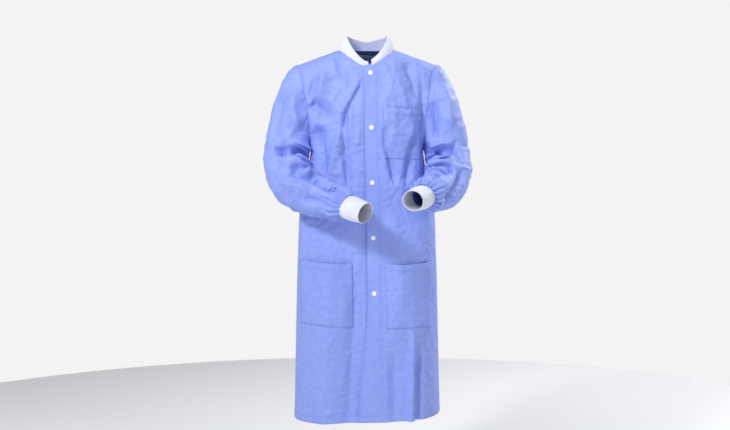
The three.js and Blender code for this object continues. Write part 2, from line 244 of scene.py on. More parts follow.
# Paths are (x, z) in metres seen from the front; heights stand out of the cloth.
frontFolds = {
    "right": [
        {"path": [(-0.006, -0.083), (-0.036, -0.135), (-0.062, -0.185), (-0.068, -0.225), (-0.064, -0.30),
                  (-0.056, -0.37), (-0.050, -0.46)],
         "widths": (0.005, 0.015), "height": -0.0075, "ends": (0.03, 0.35)},
        {"path": [(-0.020, -0.090), (-0.044, -0.150), (-0.048, -0.22), (-0.040, -0.30)],
         "widths": (0.010, 0.012), "height": 0.0045, "ends": (0.2, 0.4)},
        {"path": [(-0.088, -0.015), (-0.080, -0.06), (-0.063, -0.125)],
         "widths": (0.007, 0.0035), "height": -0.004, "ends": (0.1, 0.6)},
        {"path": [(-0.135, -0.05), (-0.152, -0.10), (-0.163, -0.155)],
         "widths": (0.008, 0.014), "height": -0.0045, "ends": (0.5, 0.3)},
        {"path": [(-0.112, -0.05), (-0.125, -0.11), (-0.14, -0.17)],
         "widths": (0.014, 0.016), "height": 0.006, "ends": (0.3, 0.3)},
        {"path": [(-0.158, -0.15), (-0.125, -0.18), (-0.085, -0.20)],
         "widths": (0.018, 0.02), "height": -0.007, "ends": (0.1, 0.4)},
        {"path": [(-0.062, -0.21), (-0.085, -0.28), (-0.105, -0.36), (-0.11, -0.43)],
         "widths": (0.011, 0.016), "height": 0.008, "ends": (0.2, 0.3)},
        {"path": [(-0.14, -0.21), (-0.128, -0.29), (-0.122, -0.38)],
         "widths": (0.012, 0.016), "height": -0.008, "ends": (0.2, 0.3)},
        {"path": [(-0.10, -0.45), (-0.095, -0.65), (-0.11, -0.85), (-0.12, -1.06)],
         "widths": (0.035, 0.03), "height": 0.006, "ends": (0.3, 0.0)},
        {"path": [(-0.03, -0.60), (-0.04, -0.80), (-0.055, -1.06)],
         "widths": (0.02, 0.03), "height": -0.006, "ends": (0.3, 0.0)},
        {"path": [(-0.172, -0.44), (-0.174, -0.58), (-0.176, -0.75)],
         "widths": (0.010, 0.012), "height": 0.005, "ends": (0.15, 0.4)},
    ],
    "left": [
        {"path": [(0.030, -0.20), (0.046, -0.27), (0.064, -0.33), (0.080, -0.39)],
         "widths": (0.006, 0.018), "height": -0.008, "ends": (0.3, 0.2)},
        {"path": [(0.036, -0.11), (0.043, -0.18), (0.052, -0.24)],
         "widths": (0.01, 0.014), "height": 0.005, "ends": (0.3, 0.3)},
        {"path": [(0.108, -0.035), (0.128, -0.09), (0.146, -0.16)],
         "widths": (0.012, 0.02), "height": -0.006, "ends": (0.2, 0.4)},
        {"path": [(0.072, -0.06), (0.096, -0.12), (0.118, -0.22), (0.122, -0.30)],
         "widths": (0.02, 0.02), "height": 0.005, "ends": (0.3, 0.3)},
        {"path": [(0.150, -0.07), (0.160, -0.12), (0.158, -0.20), (0.150, -0.27)],
         "widths": (0.012, 0.010), "height": -0.006, "ends": (0.3, 0.2)},
        {"path": [(0.135, -0.24), (0.120, -0.32), (0.105, -0.40)],
         "widths": (0.014, 0.012), "height": -0.007, "ends": (0.2, 0.3)},
        {"path": [(0.060, -0.42), (0.085, -0.55), (0.10, -0.75)],
         "widths": (0.03, 0.025), "height": 0.005, "ends": (0.3, 0.3)},
        {"path": [(0.125, -0.74), (0.122, -0.88), (0.118, -1.06)],
         "widths": (0.008, 0.03), "height": 0.012, "ends": (0.4, 0.0)},
        {"path": [(0.142, -0.78), (0.140, -0.90), (0.138, -1.06)],
         "widths": (0.02, 0.010), "height": -0.010, "ends": (0.4, 0.0)},
        {"path": [(0.065, -0.80), (0.062, -0.92), (0.055, -1.06)],
         "widths": (0.03, 0.03), "height": -0.006, "ends": (0.4, 0.0)},
    ],
}
backFolds = [
    {"path": [(-0.09, -0.06), (-0.11, -0.20), (-0.12, -0.42)], "widths": (0.02, 0.03), "height": 0.006},
    {"path": [(0.085, -0.05), (0.105, -0.18), (0.13, -0.40)], "widths": (0.03, 0.02), "height": 0.006},
    {"path": [(0.0, -0.10), (0.01, -0.30), (0.0, -0.60)], "widths": (0.04, 0.04), "height": -0.005},
    {"path": [(-0.15, -0.20), (-0.10, -0.30), (-0.04, -0.36)], "widths": (0.014, 0.02), "height": -0.006},
    {"path": [(0.15, -0.20), (0.10, -0.31), (0.05, -0.38)], "widths": (0.02, 0.014), "height": -0.006},
    {"path": [(-0.12, -0.50), (-0.13, -0.75), (-0.145, -1.06)], "widths": (0.03, 0.035), "height": 0.010,
     "ends": (0.4, 0.0)},
    {"path": [(-0.05, -0.55), (-0.06, -0.80), (-0.065, -1.06)], "widths": (0.03, 0.03), "height": -0.008,
     "ends": (0.4, 0.0)},
    {"path": [(0.02, -0.50), (0.02, -0.80), (0.03, -1.06)], "widths": (0.035, 0.03), "height": 0.009,
     "ends": (0.4, 0.0)},
    {"path": [(0.10, -0.55), (0.11, -0.80), (0.115, -1.06)], "widths": (0.03, 0.03), "height": -0.009,
     "ends": (0.4, 0.0)},
    {"path": [(0.16, -0.45), (0.165, -0.75), (0.175, -1.06)], "widths": (0.03, 0.03), "height": 0.008,
     "ends": (0.4, 0.0)},
]
sleeveFolds = {
    "right": [
        {"path": [(-0.262, -0.285), (-0.225, -0.288), (-0.180, -0.305), (-0.128, -0.335)],
         "widths": (0.009, 0.022), "height": -0.016, "ends": (0.15, 0.1)},
        {"path": [(-0.235, -0.268), (-0.19, -0.272), (-0.15, -0.29)],
         "widths": (0.014, 0.010), "height": 0.010, "ends": (0.3, 0.1)},
        {"path": [(-0.245, -0.318), (-0.19, -0.322), (-0.14, -0.345)],
         "widths": (0.014, 0.010), "height": 0.011, "ends": (0.3, 0.2)},
        {"path": [(-0.215, -0.348), (-0.17, -0.352), (-0.12, -0.375), (-0.08, -0.40)],
         "widths": (0.008, 0.018), "height": -0.013, "ends": (0.2, 0.2)},
        {"path": [(-0.24, -0.37), (-0.20, -0.385), (-0.15, -0.39)],
         "widths": (0.014, 0.014), "height": 0.007, "ends": (0.3, 0.3)},
        {"path": [(-0.19, -0.42), (-0.14, -0.42), (-0.09, -0.435)],
         "widths": (0.010, 0.014), "height": -0.006, "ends": (0.3, 0.3)},
        {"path": [(-0.195, -0.10), (-0.205, -0.17), (-0.190, -0.24)],
         "widths": (0.020, 0.016), "height": 0.008, "ends": (0.3, 0.3)},
        {"path": [(-0.235, -0.11), (-0.255, -0.19), (-0.262, -0.27)],
         "widths": (0.010, 0.018), "height": -0.006, "ends": (0.3, 0.2)},
    ],
    "left": [
        {"path": [(0.255, -0.290), (0.215, -0.288), (0.180, -0.300), (0.150, -0.32)],
         "widths": (0.020, 0.008), "height": -0.013, "ends": (0.15, 0.1)},
        {"path": [(0.250, -0.272), (0.210, -0.268), (0.175, -0.28)],
         "widths": (0.010, 0.012), "height": 0.009, "ends": (0.3, 0.1)},
        {"path": [(0.245, -0.312), (0.205, -0.315), (0.165, -0.335)],
         "widths": (0.010, 0.012), "height": 0.010, "ends": (0.3, 0.2)},
        {"path": [(0.240, -0.338), (0.200, -0.340), (0.160, -0.360)],
         "widths": (0.016, 0.008), "height": -0.011, "ends": (0.2, 0.2)},
        {"path": [(0.268, -0.33), (0.245, -0.38), (0.205, -0.43)],
         "widths": (0.012, 0.008), "height": -0.007, "ends": (0.3, 0.2)},
        {"path": [(0.195, -0.08), (0.225, -0.15), (0.235, -0.24)],
         "widths": (0.018, 0.020), "height": 0.007, "ends": (0.3, 0.3)},
        {"path": [(0.185, -0.14), (0.190, -0.21), (0.185, -0.27)],
         "widths": (0.012, 0.010), "height": -0.007, "ends": (0.3, 0.3)},
    ],
}


# The side, 1 or -1, is added to the seed; tilt is how far creases lean from upright, in radians.
creasing = {
    "front": {"seed": 31, "size": 0.085, "height": 0.0026, "tilt": 0.45, "foldStrength": 2.1},
    "back": {"seed": 47, "size": 0.075, "height": 0.0035, "tilt": 0.5, "foldStrength": 1.8},
    "sleeve": {"seed": 61, "size": 0.075, "height": 0.0024, "tilt": 1.4, "foldStrength": 2.4},
}


def raiseFolds(points, normals, folds, facing, keep, strength):
    # facing is -1 for what is seen from the front and 1 from behind; keep is 0 at the seams
    x, z = points[..., 0], points[..., 2]
    height = np.zeros(x.shape)
    for fold in folds:
        height += foldHeight(x, z, fold["path"], fold["widths"], fold["height"], fold.get("ends", (0.25, 0.25)))
    seen = ease(facing * normals[..., 1], 0.0, 0.5)
    return points + normals * (strength * height * seen * keep)[..., None]


def softWaves(points, normals, seed, size, height, keep):
    # slow uneven swell of limp cloth: a few crossed waves with fixed phases
    random = np.random.default_rng(seed)
    total = np.zeros(points.shape[:-1])
    for _ in range(7):
        direction = unit(random.normal(size=3)) * np.array([1.0, 1.0, 0.45])
        wave = direction * (2 * math.pi / (size * random.uniform(0.7, 1.5)))
        total += np.sin(points @ wave + random.uniform(0, 2 * math.pi))
    return points + normals * (total / 7 * 2 * height * keep)[..., None]


def crumple(points, normals, facts, side, keep):
    # papery creases in patches: straight sharp ridges
    size, height, tilt = facts["size"], facts["height"], facts["tilt"]
    random = np.random.default_rng(facts["seed"] + side)
    total = np.zeros(points.shape[:-1])
    for _ in range(9):
        lean = random.uniform(-tilt, tilt)
        turn = random.uniform(-0.5, 0.5)
        across = np.array([math.cos(lean) * math.cos(turn), math.sin(turn), math.sin(lean)])
        wave = across * math.pi / (size * random.uniform(0.6, 1.6))
        patch = random.normal(size=3)
        patch = patch / np.linalg.norm(patch) * 2 * math.pi / (size * random.uniform(3.0, 5.0))
        bent = points @ wave + 0.5 * np.sin(points @ patch * 1.7 + random.uniform(0, 6)) + random.uniform(0, 6)
        ridge = (1 - np.abs(np.sin(bent))) ** 1.6
        total += ridge * ease(np.sin(points @ patch + random.uniform(0, 6)), 0.15, 0.95)
    return points + normals * (total * height * keep)[..., None]


def gridMesh(name, points, closed=False, flip=False, skip=None, prune=False):
    # skip marks the grid's cells that hold no cloth
    rows, columns = points.shape[:2]
    lengthU = np.concatenate([[0], np.cumsum(np.linalg.norm(np.diff(points, axis=1), axis=-1).mean(0))])
    lengthV = np.concatenate([[0], np.cumsum(np.linalg.norm(np.diff(points, axis=0), axis=-1).mean(1))])
    used = columns - 1 if closed else columns
    vertices = points[:, :used].reshape(-1, 3)
    faces = []
    corners = []
    for r in range(rows - 1):
        for c in range(columns - 1):
            if skip is not None and skip[r, c]:
                continue
            d = (c + 1) % used
            face = [r * used + c, r * used + d, (r + 1) * used + d, (r + 1) * used + c]
            uv = [(c, r), (c + 1, r), (c + 1, r + 1), (c, r + 1)]
            faces.append(face[::-1] if flip else face)
            corners.extend(uv[::-1] if flip else uv)
    mesh = bpy.data.meshes.new(name)
    mesh.from_pydata(vertices.tolist(), [], faces)
    layer = mesh.uv_layers.new(name="flatMetres")
    values = np.array([(lengthU[c], lengthV[r]) for c, r in corners], np.float32)
    layer.data.foreach_set("uv", values.ravel())
    mesh.polygons.foreach_set("use_smooth", [True] * len(faces))
    piece = bpy.data.objects.new(name, mesh)
    bpy.context.scene.collection.objects.link(piece)
    if prune:
        makeActive(piece)
        bpy.ops.object.mode_set(mode="EDIT")
        bpy.ops.mesh.select_all(action="SELECT")
        bpy.ops.mesh.delete_loose(use_verts=True, use_edges=False, use_faces=False)
        bpy.ops.object.mode_set(mode="OBJECT")
    return piece


def sampleGrid(points, column, row):
    rows, columns = points.shape[:2]
    column = np.clip(column, 0, columns - 1.0001)
    row = np.clip(row, 0, rows - 1.0001)
    c, r = np.floor(column).astype(int), np.floor(row).astype(int)
    s, t = (column - c)[..., None], (row - r)[..., None]
    low = mix(points[r, c], points[r, c + 1], s)
    high = mix(points[r + 1, c], points[r + 1, c + 1], s)
    return mix(low, high, t)


settling = {
    "frames": 18,
    "quality": 6,
    "mass": 0.06,
    "stretch": 12.0,
    "bend": 2.5,
    "damping": 8,
    "gravity": 0.4,
    "softHold": 0.30,                                # how firmly the middle of a cloth is held
    "front": {"grow": 0.014, "cap": 0.011},          # how much larger it is cut, and its largest move
    "back": {"grow": 0.020, "cap": 0.012},
    "sleeve": {"grow": 0.020, "cap": 0.008},
}


def settle(name, kind, finePoints, hold, closed=False, flip=False, skip=None):
    # lets the cloth buckle softly: it is cut a little large, held fast at its edges and softly elsewhere
    grow, cap = settling[kind]["grow"], settling[kind]["cap"]
    points = finePoints[::2, ::2]
    hold = np.broadcast_to(hold, finePoints.shape[:2])[::2, ::2]
    if skip is not None:
        skip = skip[::2, ::2]
    piece = gridMesh(name + "Settling", points, closed=closed, flip=flip, skip=skip)
    used = points.shape[1] - 1 if closed else points.shape[1]
    group = piece.vertex_groups.new(name="hold")
    weights = hold[:, :used].ravel()
    for index, weight in enumerate(weights):
        group.add([index], float(weight), "REPLACE")
    modifier = piece.modifiers.new("cloth", "CLOTH")
    values = modifier.settings
    values.quality = settling["quality"]
    values.mass = settling["mass"]
    values.tension_stiffness = values.compression_stiffness = settling["stretch"]
    values.shear_stiffness = settling["stretch"] * 0.6
    values.bending_stiffness = settling["bend"]
    values.tension_damping = values.compression_damping = values.shear_damping = settling["damping"]
    values.bending_damping = 1.0
    values.air_damping = 3
    values.vertex_group_mass = "hold"
    values.pin_stiffness = 1.0
    values.shrink_min = -grow
    values.effector_weights.gravity = settling["gravity"]
    modifier.collision_settings.use_collision = False
    modifier.collision_settings.use_self_collision = False
    modifier.point_cache.frame_start = 1
    modifier.point_cache.frame_end = settling["frames"]
    scene = bpy.context.scene
    scene.frame_end = settling["frames"]
    for frameNumber in range(1, settling["frames"] + 1):
        scene.frame_set(frameNumber)
    graph = bpy.context.evaluated_depsgraph_get()
    mesh = piece.evaluated_get(graph).to_mesh()
    moved = np.empty(len(mesh.vertices) * 3, np.float32)
    mesh.vertices.foreach_get("co", moved)
    moved = moved.reshape(points.shape[0], used, 3).astype(float)
    piece.evaluated_get(graph).to_mesh_clear()
    bpy.data.objects.remove(piece)
    scene.frame_set(1)
    if closed:
        moved = np.concatenate([moved, moved[:, :1]], axis=1)
    step = moved - points
    length = np.linalg.norm(step, axis=-1, keepdims=True)
    step = step / np.maximum(length, 1e-9) * cap * np.tanh(length / cap)
    print(name, "settled, largest move", round(float(length.max()) * 1000, 1), "mm")
    c, r = np.meshgrid(np.arange(finePoints.shape[1]) / 2, np.arange(finePoints.shape[0]) / 2)
    return finePoints + sampleGrid(step, c, r)


panelDetail = {"stripColumns": 12, "columns": 100, "backColumns": 70, "skirtRows": 190, "yokeRows": 96}


def panelHeights():
    skirt = np.linspace(0, 1, panelDetail["skirtRows"] + 1)
    yoke = np.linspace(1, 2, panelDetail["yokeRows"] + 1)[1:]
    return np.concatenate([skirt, yoke])


def softenUnderarm(points, columnsKept=1):
    # rounds off the bend between skirt and yoke, except at the seams
    middle = panelDetail["skirtRows"]
    columns = np.arange(points.shape[1])
    inside = ease(points.shape[1] - 1 - columns, columnsKept - 1, columnsKept + 5)
    if columnsKept > 1:
        inside = inside * ease(columns, columnsKept - 1, columnsKept + 5)
    rows = np.arange(points.shape[0])
    near = np.exp(-((rows - middle) / 9.0) ** 2)
    share = (near[:, None] * inside[None, :])[..., None]
    for _ in range(60):
        smooth = points.copy()
        smooth[1:-1] = (points[:-2] + 2 * points[1:-1] + points[2:]) / 4
        points = mix(points, smooth, share)
    return points


def seamKeep(shape, side=24, top=20):
    # 0 at the outer and upper edges, 1 a little way inside
    rows, columns = shape
    c = np.arange(columns)[None, :]
    r = np.arange(rows)[:, None]
    return ease((columns - 1 - c) / side, 0, 1) * ease((rows - 1 - r) / top, 0, 1)


def frontGrid(name):
    side = 1 if name == "left" else -1
    lift = placket["lift"] if name == "left" else 0.0
    v, u = np.meshgrid(panelHeights(), np.linspace(0, 1, panelDetail["columns"] + 1), indexing="ij")
    body = panelAcross(side, True, startOf[name], lift, shareAcross(u, v), v)
    strip = stripGrid(name, panelHeights(), body[:, 0])
    return softenUnderarm(np.concatenate([strip[:, :-1], body], axis=1))


def stripGrid(name, heights, seam):
    # the placket strip runs flat from its free edge to the panel, up to the neckline
    side = 1 if name == "left" else -1
    lift = placket["lift"] if name == "left" else 0.0
    t = np.linspace(0, 1, panelDetail["stripColumns"] + 1)[None, :]
    neckAt = coat["neckHeight"]
    v = np.minimum(heights, neckAt)
    middle = innerEdge(1, True, placketX, lift, v)
    flare = placket["flare"] * ease(placket["flareStartZ"] - middle[:, 2], 0, 0.345) if side > 0 else 0.0
    reach = placket["halfWidth"] + flare
    freeX = middle[:, 0] - side * reach
    strip = np.empty((len(heights), t.shape[1], 3))
    strip[..., 0] = mix(freeX[:, None], seam[:, :1], t)
    strip[..., 1] = mix(middle[:, 1:2], seam[:, 1:2], t)
    strip[..., 2] = mix(middle[:, 2:3], seam[:, 2:3], t)
    return strip


print("body shape ready")


sleeve = {
    "headEnd": 0.33,
    "clearance": 0.005,
    "radii": [0.062, 0.062, 0.063, 0.063, 0.059, 0.053, 0.045, 0.0335],   # armhole to cuff
    "gatherStart": 0.80,
    "gathers": 19,
    "gatherHeight": 0.0062,
    "right": [(-0.200, -0.008, -0.225), (-0.226, -0.036, -0.300), (-0.208, -0.092, -0.370),
              (-0.152, -0.152, -0.408), (-0.098, -0.199, -0.424), (-0.049, -0.238, -0.440)],
    "left": [(0.200, -0.008, -0.228), (0.227, -0.036, -0.304), (0.222, -0.098, -0.372),
             (0.199, -0.158, -0.396), (0.172, -0.206, -0.404), (0.147, -0.250, -0.412)],
    "rows": 180,
    "columns": 132,
}
cuff = {
    "radius": 0.032,
    "endRadius": 0.030,
    "length": 0.062,
    "thickness": 0.002,
    "ribPitch": 0.0032,
    "ribHeight": 0.0006,
}


def pathPoint(points, t):
    # centripetal curve through the points, t from 0 to 1
    points = np.asarray(points, float)
    whole = np.vstack([2 * points[0] - points[1], points, 2 * points[-1] - points[-2]])
    place = t * (len(points) - 1)
    i = min(int(place), len(points) - 2)
    s = place - i
    a, b, c, d = whole[i:i + 4]
    ab, bc, cd = (math.sqrt(np.linalg.norm(v)) for v in (b - a, c - b, d - c))
    startSlope = ((b - a) / ab - (c - a) / (ab + bc) + (c - b) / bc) * bc
    endSlope = ((c - b) / bc - (d - b) / (bc + cd) + (d - c) / cd) * bc
    return (b + startSlope * s + (-3 * b + 3 * c - 2 * startSlope - endSlope) * s ** 2
            + (2 * b - 2 * c + startSlope + endSlope) * s ** 3)


def armRings(name, count=96):
    side = 1 if name == "left" else -1
    loop = armholePoint(side, np.linspace(0, 2 * math.pi, 33)[:-1])
    path = [(loop.min(0) + loop.max(0)) / 2, *sleeve[name]]
    centres, outs, fronts, tangents = [], [], [], []
    out = np.array([0.0, 0.0, 1.0])
    for i in range(count + 1):
        t = i / count
        tangent = unit(pathPoint(path, min(t + 1e-4, 1)) - pathPoint(path, max(t - 1e-4, 0)))
        out = unit(out - tangent * out.dot(tangent))
        centres.append(pathPoint(path, t))
        outs.append(out)
        fronts.append(np.cross(tangent, out) * side)
        tangents.append(tangent)
    return [np.array(part) for part in (centres, outs, fronts, tangents)]


def bodyAllows(points):
    # moves points out of the torso's side
    height = np.clip((points[..., 2] - coat["hemZ"]) / (coat["underarmZ"] - coat["hemZ"]), 0, 1)
    halfWidth = alongHeights(coat["halfWidths"], height) + sleeve["clearance"]
    front = alongHeights(coat["frontDepths"], height) + placket["lift"]
    depth = np.where(points[..., 1] < 0, front, alongHeights(coat["backDepths"], height)) + sleeve["clearance"]
    p = coat["squareness"]
    size = (np.abs(points[..., 0] / halfWidth) ** p + np.abs(points[..., 1] / depth) ** p) ** (1 / p)
    push = np.where(size < 1, 1 / np.maximum(size, 0.2), 1.0)
    return points * np.stack([push, push, np.ones_like(push)], -1)


def tubeAt(rings, angle, w, radius):
    centres, outs, fronts, _ = rings
    place = np.clip(w, 0, 1) * (len(centres) - 1)
    i = np.clip(np.floor(place).astype(int), 0, len(centres) - 2)
    t = (place - i)[..., None]
    out = unit(mix(outs[i], outs[i + 1], t))
    front = unit(mix(fronts[i], fronts[i + 1], t))
    direction = out * np.cos(angle)[..., None] + front * np.sin(angle)[..., None]
    return mix(centres[i], centres[i + 1], t) + direction * radius[..., None]


def sleeveGrid(name, rings):
    side = 1 if name == "left" else -1
    w, turn = np.meshgrid(np.linspace(0, 1, sleeve["rows"] + 1), np.linspace(0, 1, sleeve["columns"] + 1),
                          indexing="ij")
    angle = turn * 2 * math.pi
    radius = alongHeights(sleeve["radii"], w)
    # gathers into the cuff, uneven from one to the next
    uneven = 0.65 + 0.35 * np.sin(3 * angle + 1.2 * side) * np.cos(5 * angle + 0.7)
    gather = np.cos(sleeve["gathers"] * angle + 1.4 * np.sin(2 * angle + side))
    nearCuff = ease(w, sleeve["gatherStart"], 0.955) * (1 - 0.55 * ease(w, 0.97, 1.0))
    radius = radius + sleeve["gatherHeight"] * gather * uneven * nearCuff
    # cloth bunched up behind the cuff
    radius = radius + 0.008 * np.exp(-((w - 0.925) / 0.035) ** 2) * (0.8 + 0.4 * np.sin(2 * angle + 2.0))
    # short folds squeezed on the inside of the elbow
    inside = np.exp(-((((angle - 0.60 * math.pi + math.pi) % (2 * math.pi)) - math.pi) / 0.95) ** 2)
    squeeze = np.sin((w - 0.30) * 62 + 0.9 * np.sin(angle * 2))
    radius = radius + 0.0055 * squeeze * inside * ease(w, 0.30, 0.40) * (1 - ease(w, 0.62, 0.74))
    tube = bodyAllows(tubeAt(rings, angle, w, radius))
    headEnd = sleeve["headEnd"]
    headRing = bodyAllows(tubeAt(rings, angle, np.full_like(w, headEnd),
                                 alongHeights(sleeve["radii"], np.full_like(w, headEnd))))
    share = np.clip(w / headEnd, 0, 1)
    outwards = mix(share, np.sin(share * math.pi / 2), 0.6)[..., None]
    downwards = (1 - np.cos(share * math.pi / 2))[..., None]
    head = armholePoint(side, angle)
    along = np.concatenate([outwards, downwards, downwards], -1)
    head = mix(head, headRing, along)
    return np.where((w < headEnd)[..., None], head, tube), w, angle


def neckPoint(u):
    # u goes once round the neck from the left front edge over the back to the right front edge
    around = (u - 0.5) * 2
    isFront = np.abs(around) > 0.5
    side = np.where(around < 0, 1, -1)
    half = coat["neckHalfWidth"]
    startAngle = np.where(side > 0, math.asin(0.013 / half), math.asin(-0.004 / half))
    turn = np.where(isFront, mix(math.pi / 2, startAngle, (np.abs(around) - 0.5) * 2), np.abs(around) * math.pi)
    x = side * half * np.sin(turn)
    onFront = necklineAt(x, True, 0.0)
    lifted = necklineAt(x, True, placket["lift"])
    onBack = necklineAt(x, False, 0.0)
    return np.where(isFront[..., None], np.where((side > 0)[..., None], lifted, onFront), onBack), np.abs(around)


collar = {"height": 0.044, "frontHeight": 0.017, "lean": 0.020, "thickness": 0.0024, "sink": 0.003,
          "ribPitch": 0.0030, "ribHeight": 0.00055}


def bandMesh(name, outer, closed, thickness, outwards):
    # a folded knit band: up the outside, over the fold and down the inside
    rows = outer.shape[0]
    inner = outer - outwards * thickness
    fold = (outer[-1] + inner[-1]) / 2 + unit(outer[-1] - outer[-3]) * thickness * 0.5
    loop = np.concatenate([outer, fold[None], inner[::-1]], axis=0)
    columns = loop.shape[1]
    used = columns - 1 if closed else columns
    vertices = loop[:, :used].reshape(-1, 3)
    lengthU = np.concatenate([[0], np.cumsum(np.linalg.norm(np.diff(outer, axis=1), axis=-1).mean(0))])
    lengthV = np.concatenate([[0], np.cumsum(np.linalg.norm(np.diff(loop, axis=0), axis=-1).mean(1))])
    total = loop.shape[0]
    faces, uvs = [], []
    for r in range(total):
        s = (r + 1) % total
        for c in range(columns - 1):
            d = (c + 1) % used
            faces.append([r * used + c, r * used + d, s * used + d, s * used + c])
            top = lengthV[s] if s else lengthV[-1] + thickness
            uvs += [(lengthU[c], lengthV[r]), (lengthU[c + 1], lengthV[r]), (lengthU[c + 1], top), (lengthU[c], top)]
    if not closed:
        for c, turned in ((0, False), (columns - 1, True)):
            cap = [r * used + c for r in range(total)]
            faces.append(cap[::-1] if turned else cap)
            uvs += [(lengthU[c], lengthV[r]) for r in range(total)]
    mesh = bpy.data.meshes.new(name)
    mesh.from_pydata(vertices.tolist(), [], faces)
    layer = mesh.uv_layers.new(name="flatMetres")
    layer.data.foreach_set("uv", np.array(uvs, np.float32).ravel())
    piece = bpy.data.objects.new(name, mesh)
    bpy.context.scene.collection.objects.link(piece)
    makeActive(piece)
    bpy.ops.object.mode_set(mode="EDIT")
    bpy.ops.mesh.select_all(action="SELECT")
    bpy.ops.mesh.normals_make_consistent(inside=False)
    bpy.ops.object.mode_set(mode="OBJECT")
    bpy.ops.object.shade_smooth()
    return piece, (float(lengthU[-1]), float(np.linalg.norm(np.diff(outer, axis=0), axis=-1).mean(1).sum()))


thread = {"length": 0.0026, "pitch": 0.0036, "width": 0.0005, "height": 0.00035}


def stitchRow(path, normals):
    # one short lozenge for each stitch along a line that lies on the cloth
    path, normals = np.asarray(path), np.asarray(normals)
    lengths = np.concatenate([[0], np.cumsum(np.linalg.norm(np.diff(path, axis=0), axis=1))])
    count = int(lengths[-1] / thread["pitch"])
    vertices, faces = [], []
    for i in range(count):
        middle = (i + 0.5) * thread["pitch"]
        a, b, n = [np.array([np.interp(at, lengths, line[:, k]) for k in range(3)])
                   for at, line in ((middle - thread["length"] / 2, path), (middle + thread["length"] / 2, path),
                                    (middle, normals))]
        if np.linalg.norm(b - a) < 1e-6:
            continue
        n = unit(n)
        wide = unit(np.cross(b - a, n)) * thread["width"] / 2
        high = n * thread["height"]
        centre = (a + b) / 2 + high * 0.6
        start = len(vertices)
        vertices += [a, centre + wide, centre + high, centre - wide, centre - high, b]
        faces += [[start + k for k in corner] for corner in
                  ((0, 1, 2), (0, 2, 3), (0, 3, 4), (0, 4, 1), (5, 2, 1), (5, 3, 2), (5, 4, 3), (5, 1, 4))]
    return vertices, faces


def sewOn(piece, rows, material):
    # adds the stitch rows to the cloth's own mesh, as its second material
    vertices, faces = [], []
    for path, normals in rows:
        more, moreFaces = stitchRow(path, normals)
        faces += [[k + len(vertices) for k in face] for face in moreFaces]
        vertices += more
    mesh = bpy.data.meshes.new("stitches")
    mesh.from_pydata([tuple(v) for v in vertices], [], faces)
    mesh.uv_layers.new(name="flatMetres")
    stitches = bpy.data.objects.new("stitches", mesh)
    bpy.context.scene.collection.objects.link(stitches)
    stitches.data.materials.append(material)
    makeActive(stitches)
    bpy.ops.object.mode_set(mode="EDIT")
    bpy.ops.mesh.select_all(action="SELECT")
    bpy.ops.mesh.normals_make_consistent(inside=False)
    bpy.ops.object.mode_set(mode="OBJECT")
    deselectAll()
    stitches.select_set(True)
    piece.select_set(True)
    bpy.context.view_layer.objects.active = piece
    bpy.ops.object.join()


def lineOn(points, normals, columnRow, lift=0.0005):
    # a line through grid places, lifted a little off the cloth
    columnRow = np.asarray(columnRow, float)
    path = sampleGrid(points, columnRow[:, 0], columnRow[:, 1])
    facing = sampleGrid(normals, columnRow[:, 0], columnRow[:, 1])
    return path + facing * lift, facing


def addNode(tree, kind, settings=None, inputs=None, stops=()):
    # inputs are plain values or (node, output name); stops are the (place, colour) pairs of a colour ramp
    made = tree.nodes.new(kind)
    for name, value in (settings or {}).items():
        setattr(made, name, value)
    for name, value in (inputs or {}).items():
        if isinstance(value, tuple) and hasattr(value[0], "outputs"):
            tree.links.new(value[0].outputs[value[1]], made.inputs[name])
        else:
            made.inputs[name].default_value = value
    elements = made.color_ramp.elements if stops else ()
    while len(elements) < len(stops):
        elements.new(0.5)
    for element, (position, colour) in zip(elements, stops):
        element.position = position
        element.color = colour
    return made


def newMaterial(name):
    material = bpy.data.materials.new(name)
    material.use_nodes = True
    tree = material.node_tree
    tree.nodes.clear()
    return material, tree


nonwoven = {
    "colour": "#8a9de9",
    "paler": "#8fa2ec",
    "deeper": "#8598e5",
    "bondSpacing": 0.0032,     # real bonds are about 1 mm apart, drawn coarser so that they show
    "fibreSpacing": 0.0012,    # real fibres are 0.02 mm, drawn as visible strands
    "creaseSize": 0.070,       # creases left from the folded pack
    "roughness": 0.66,
}


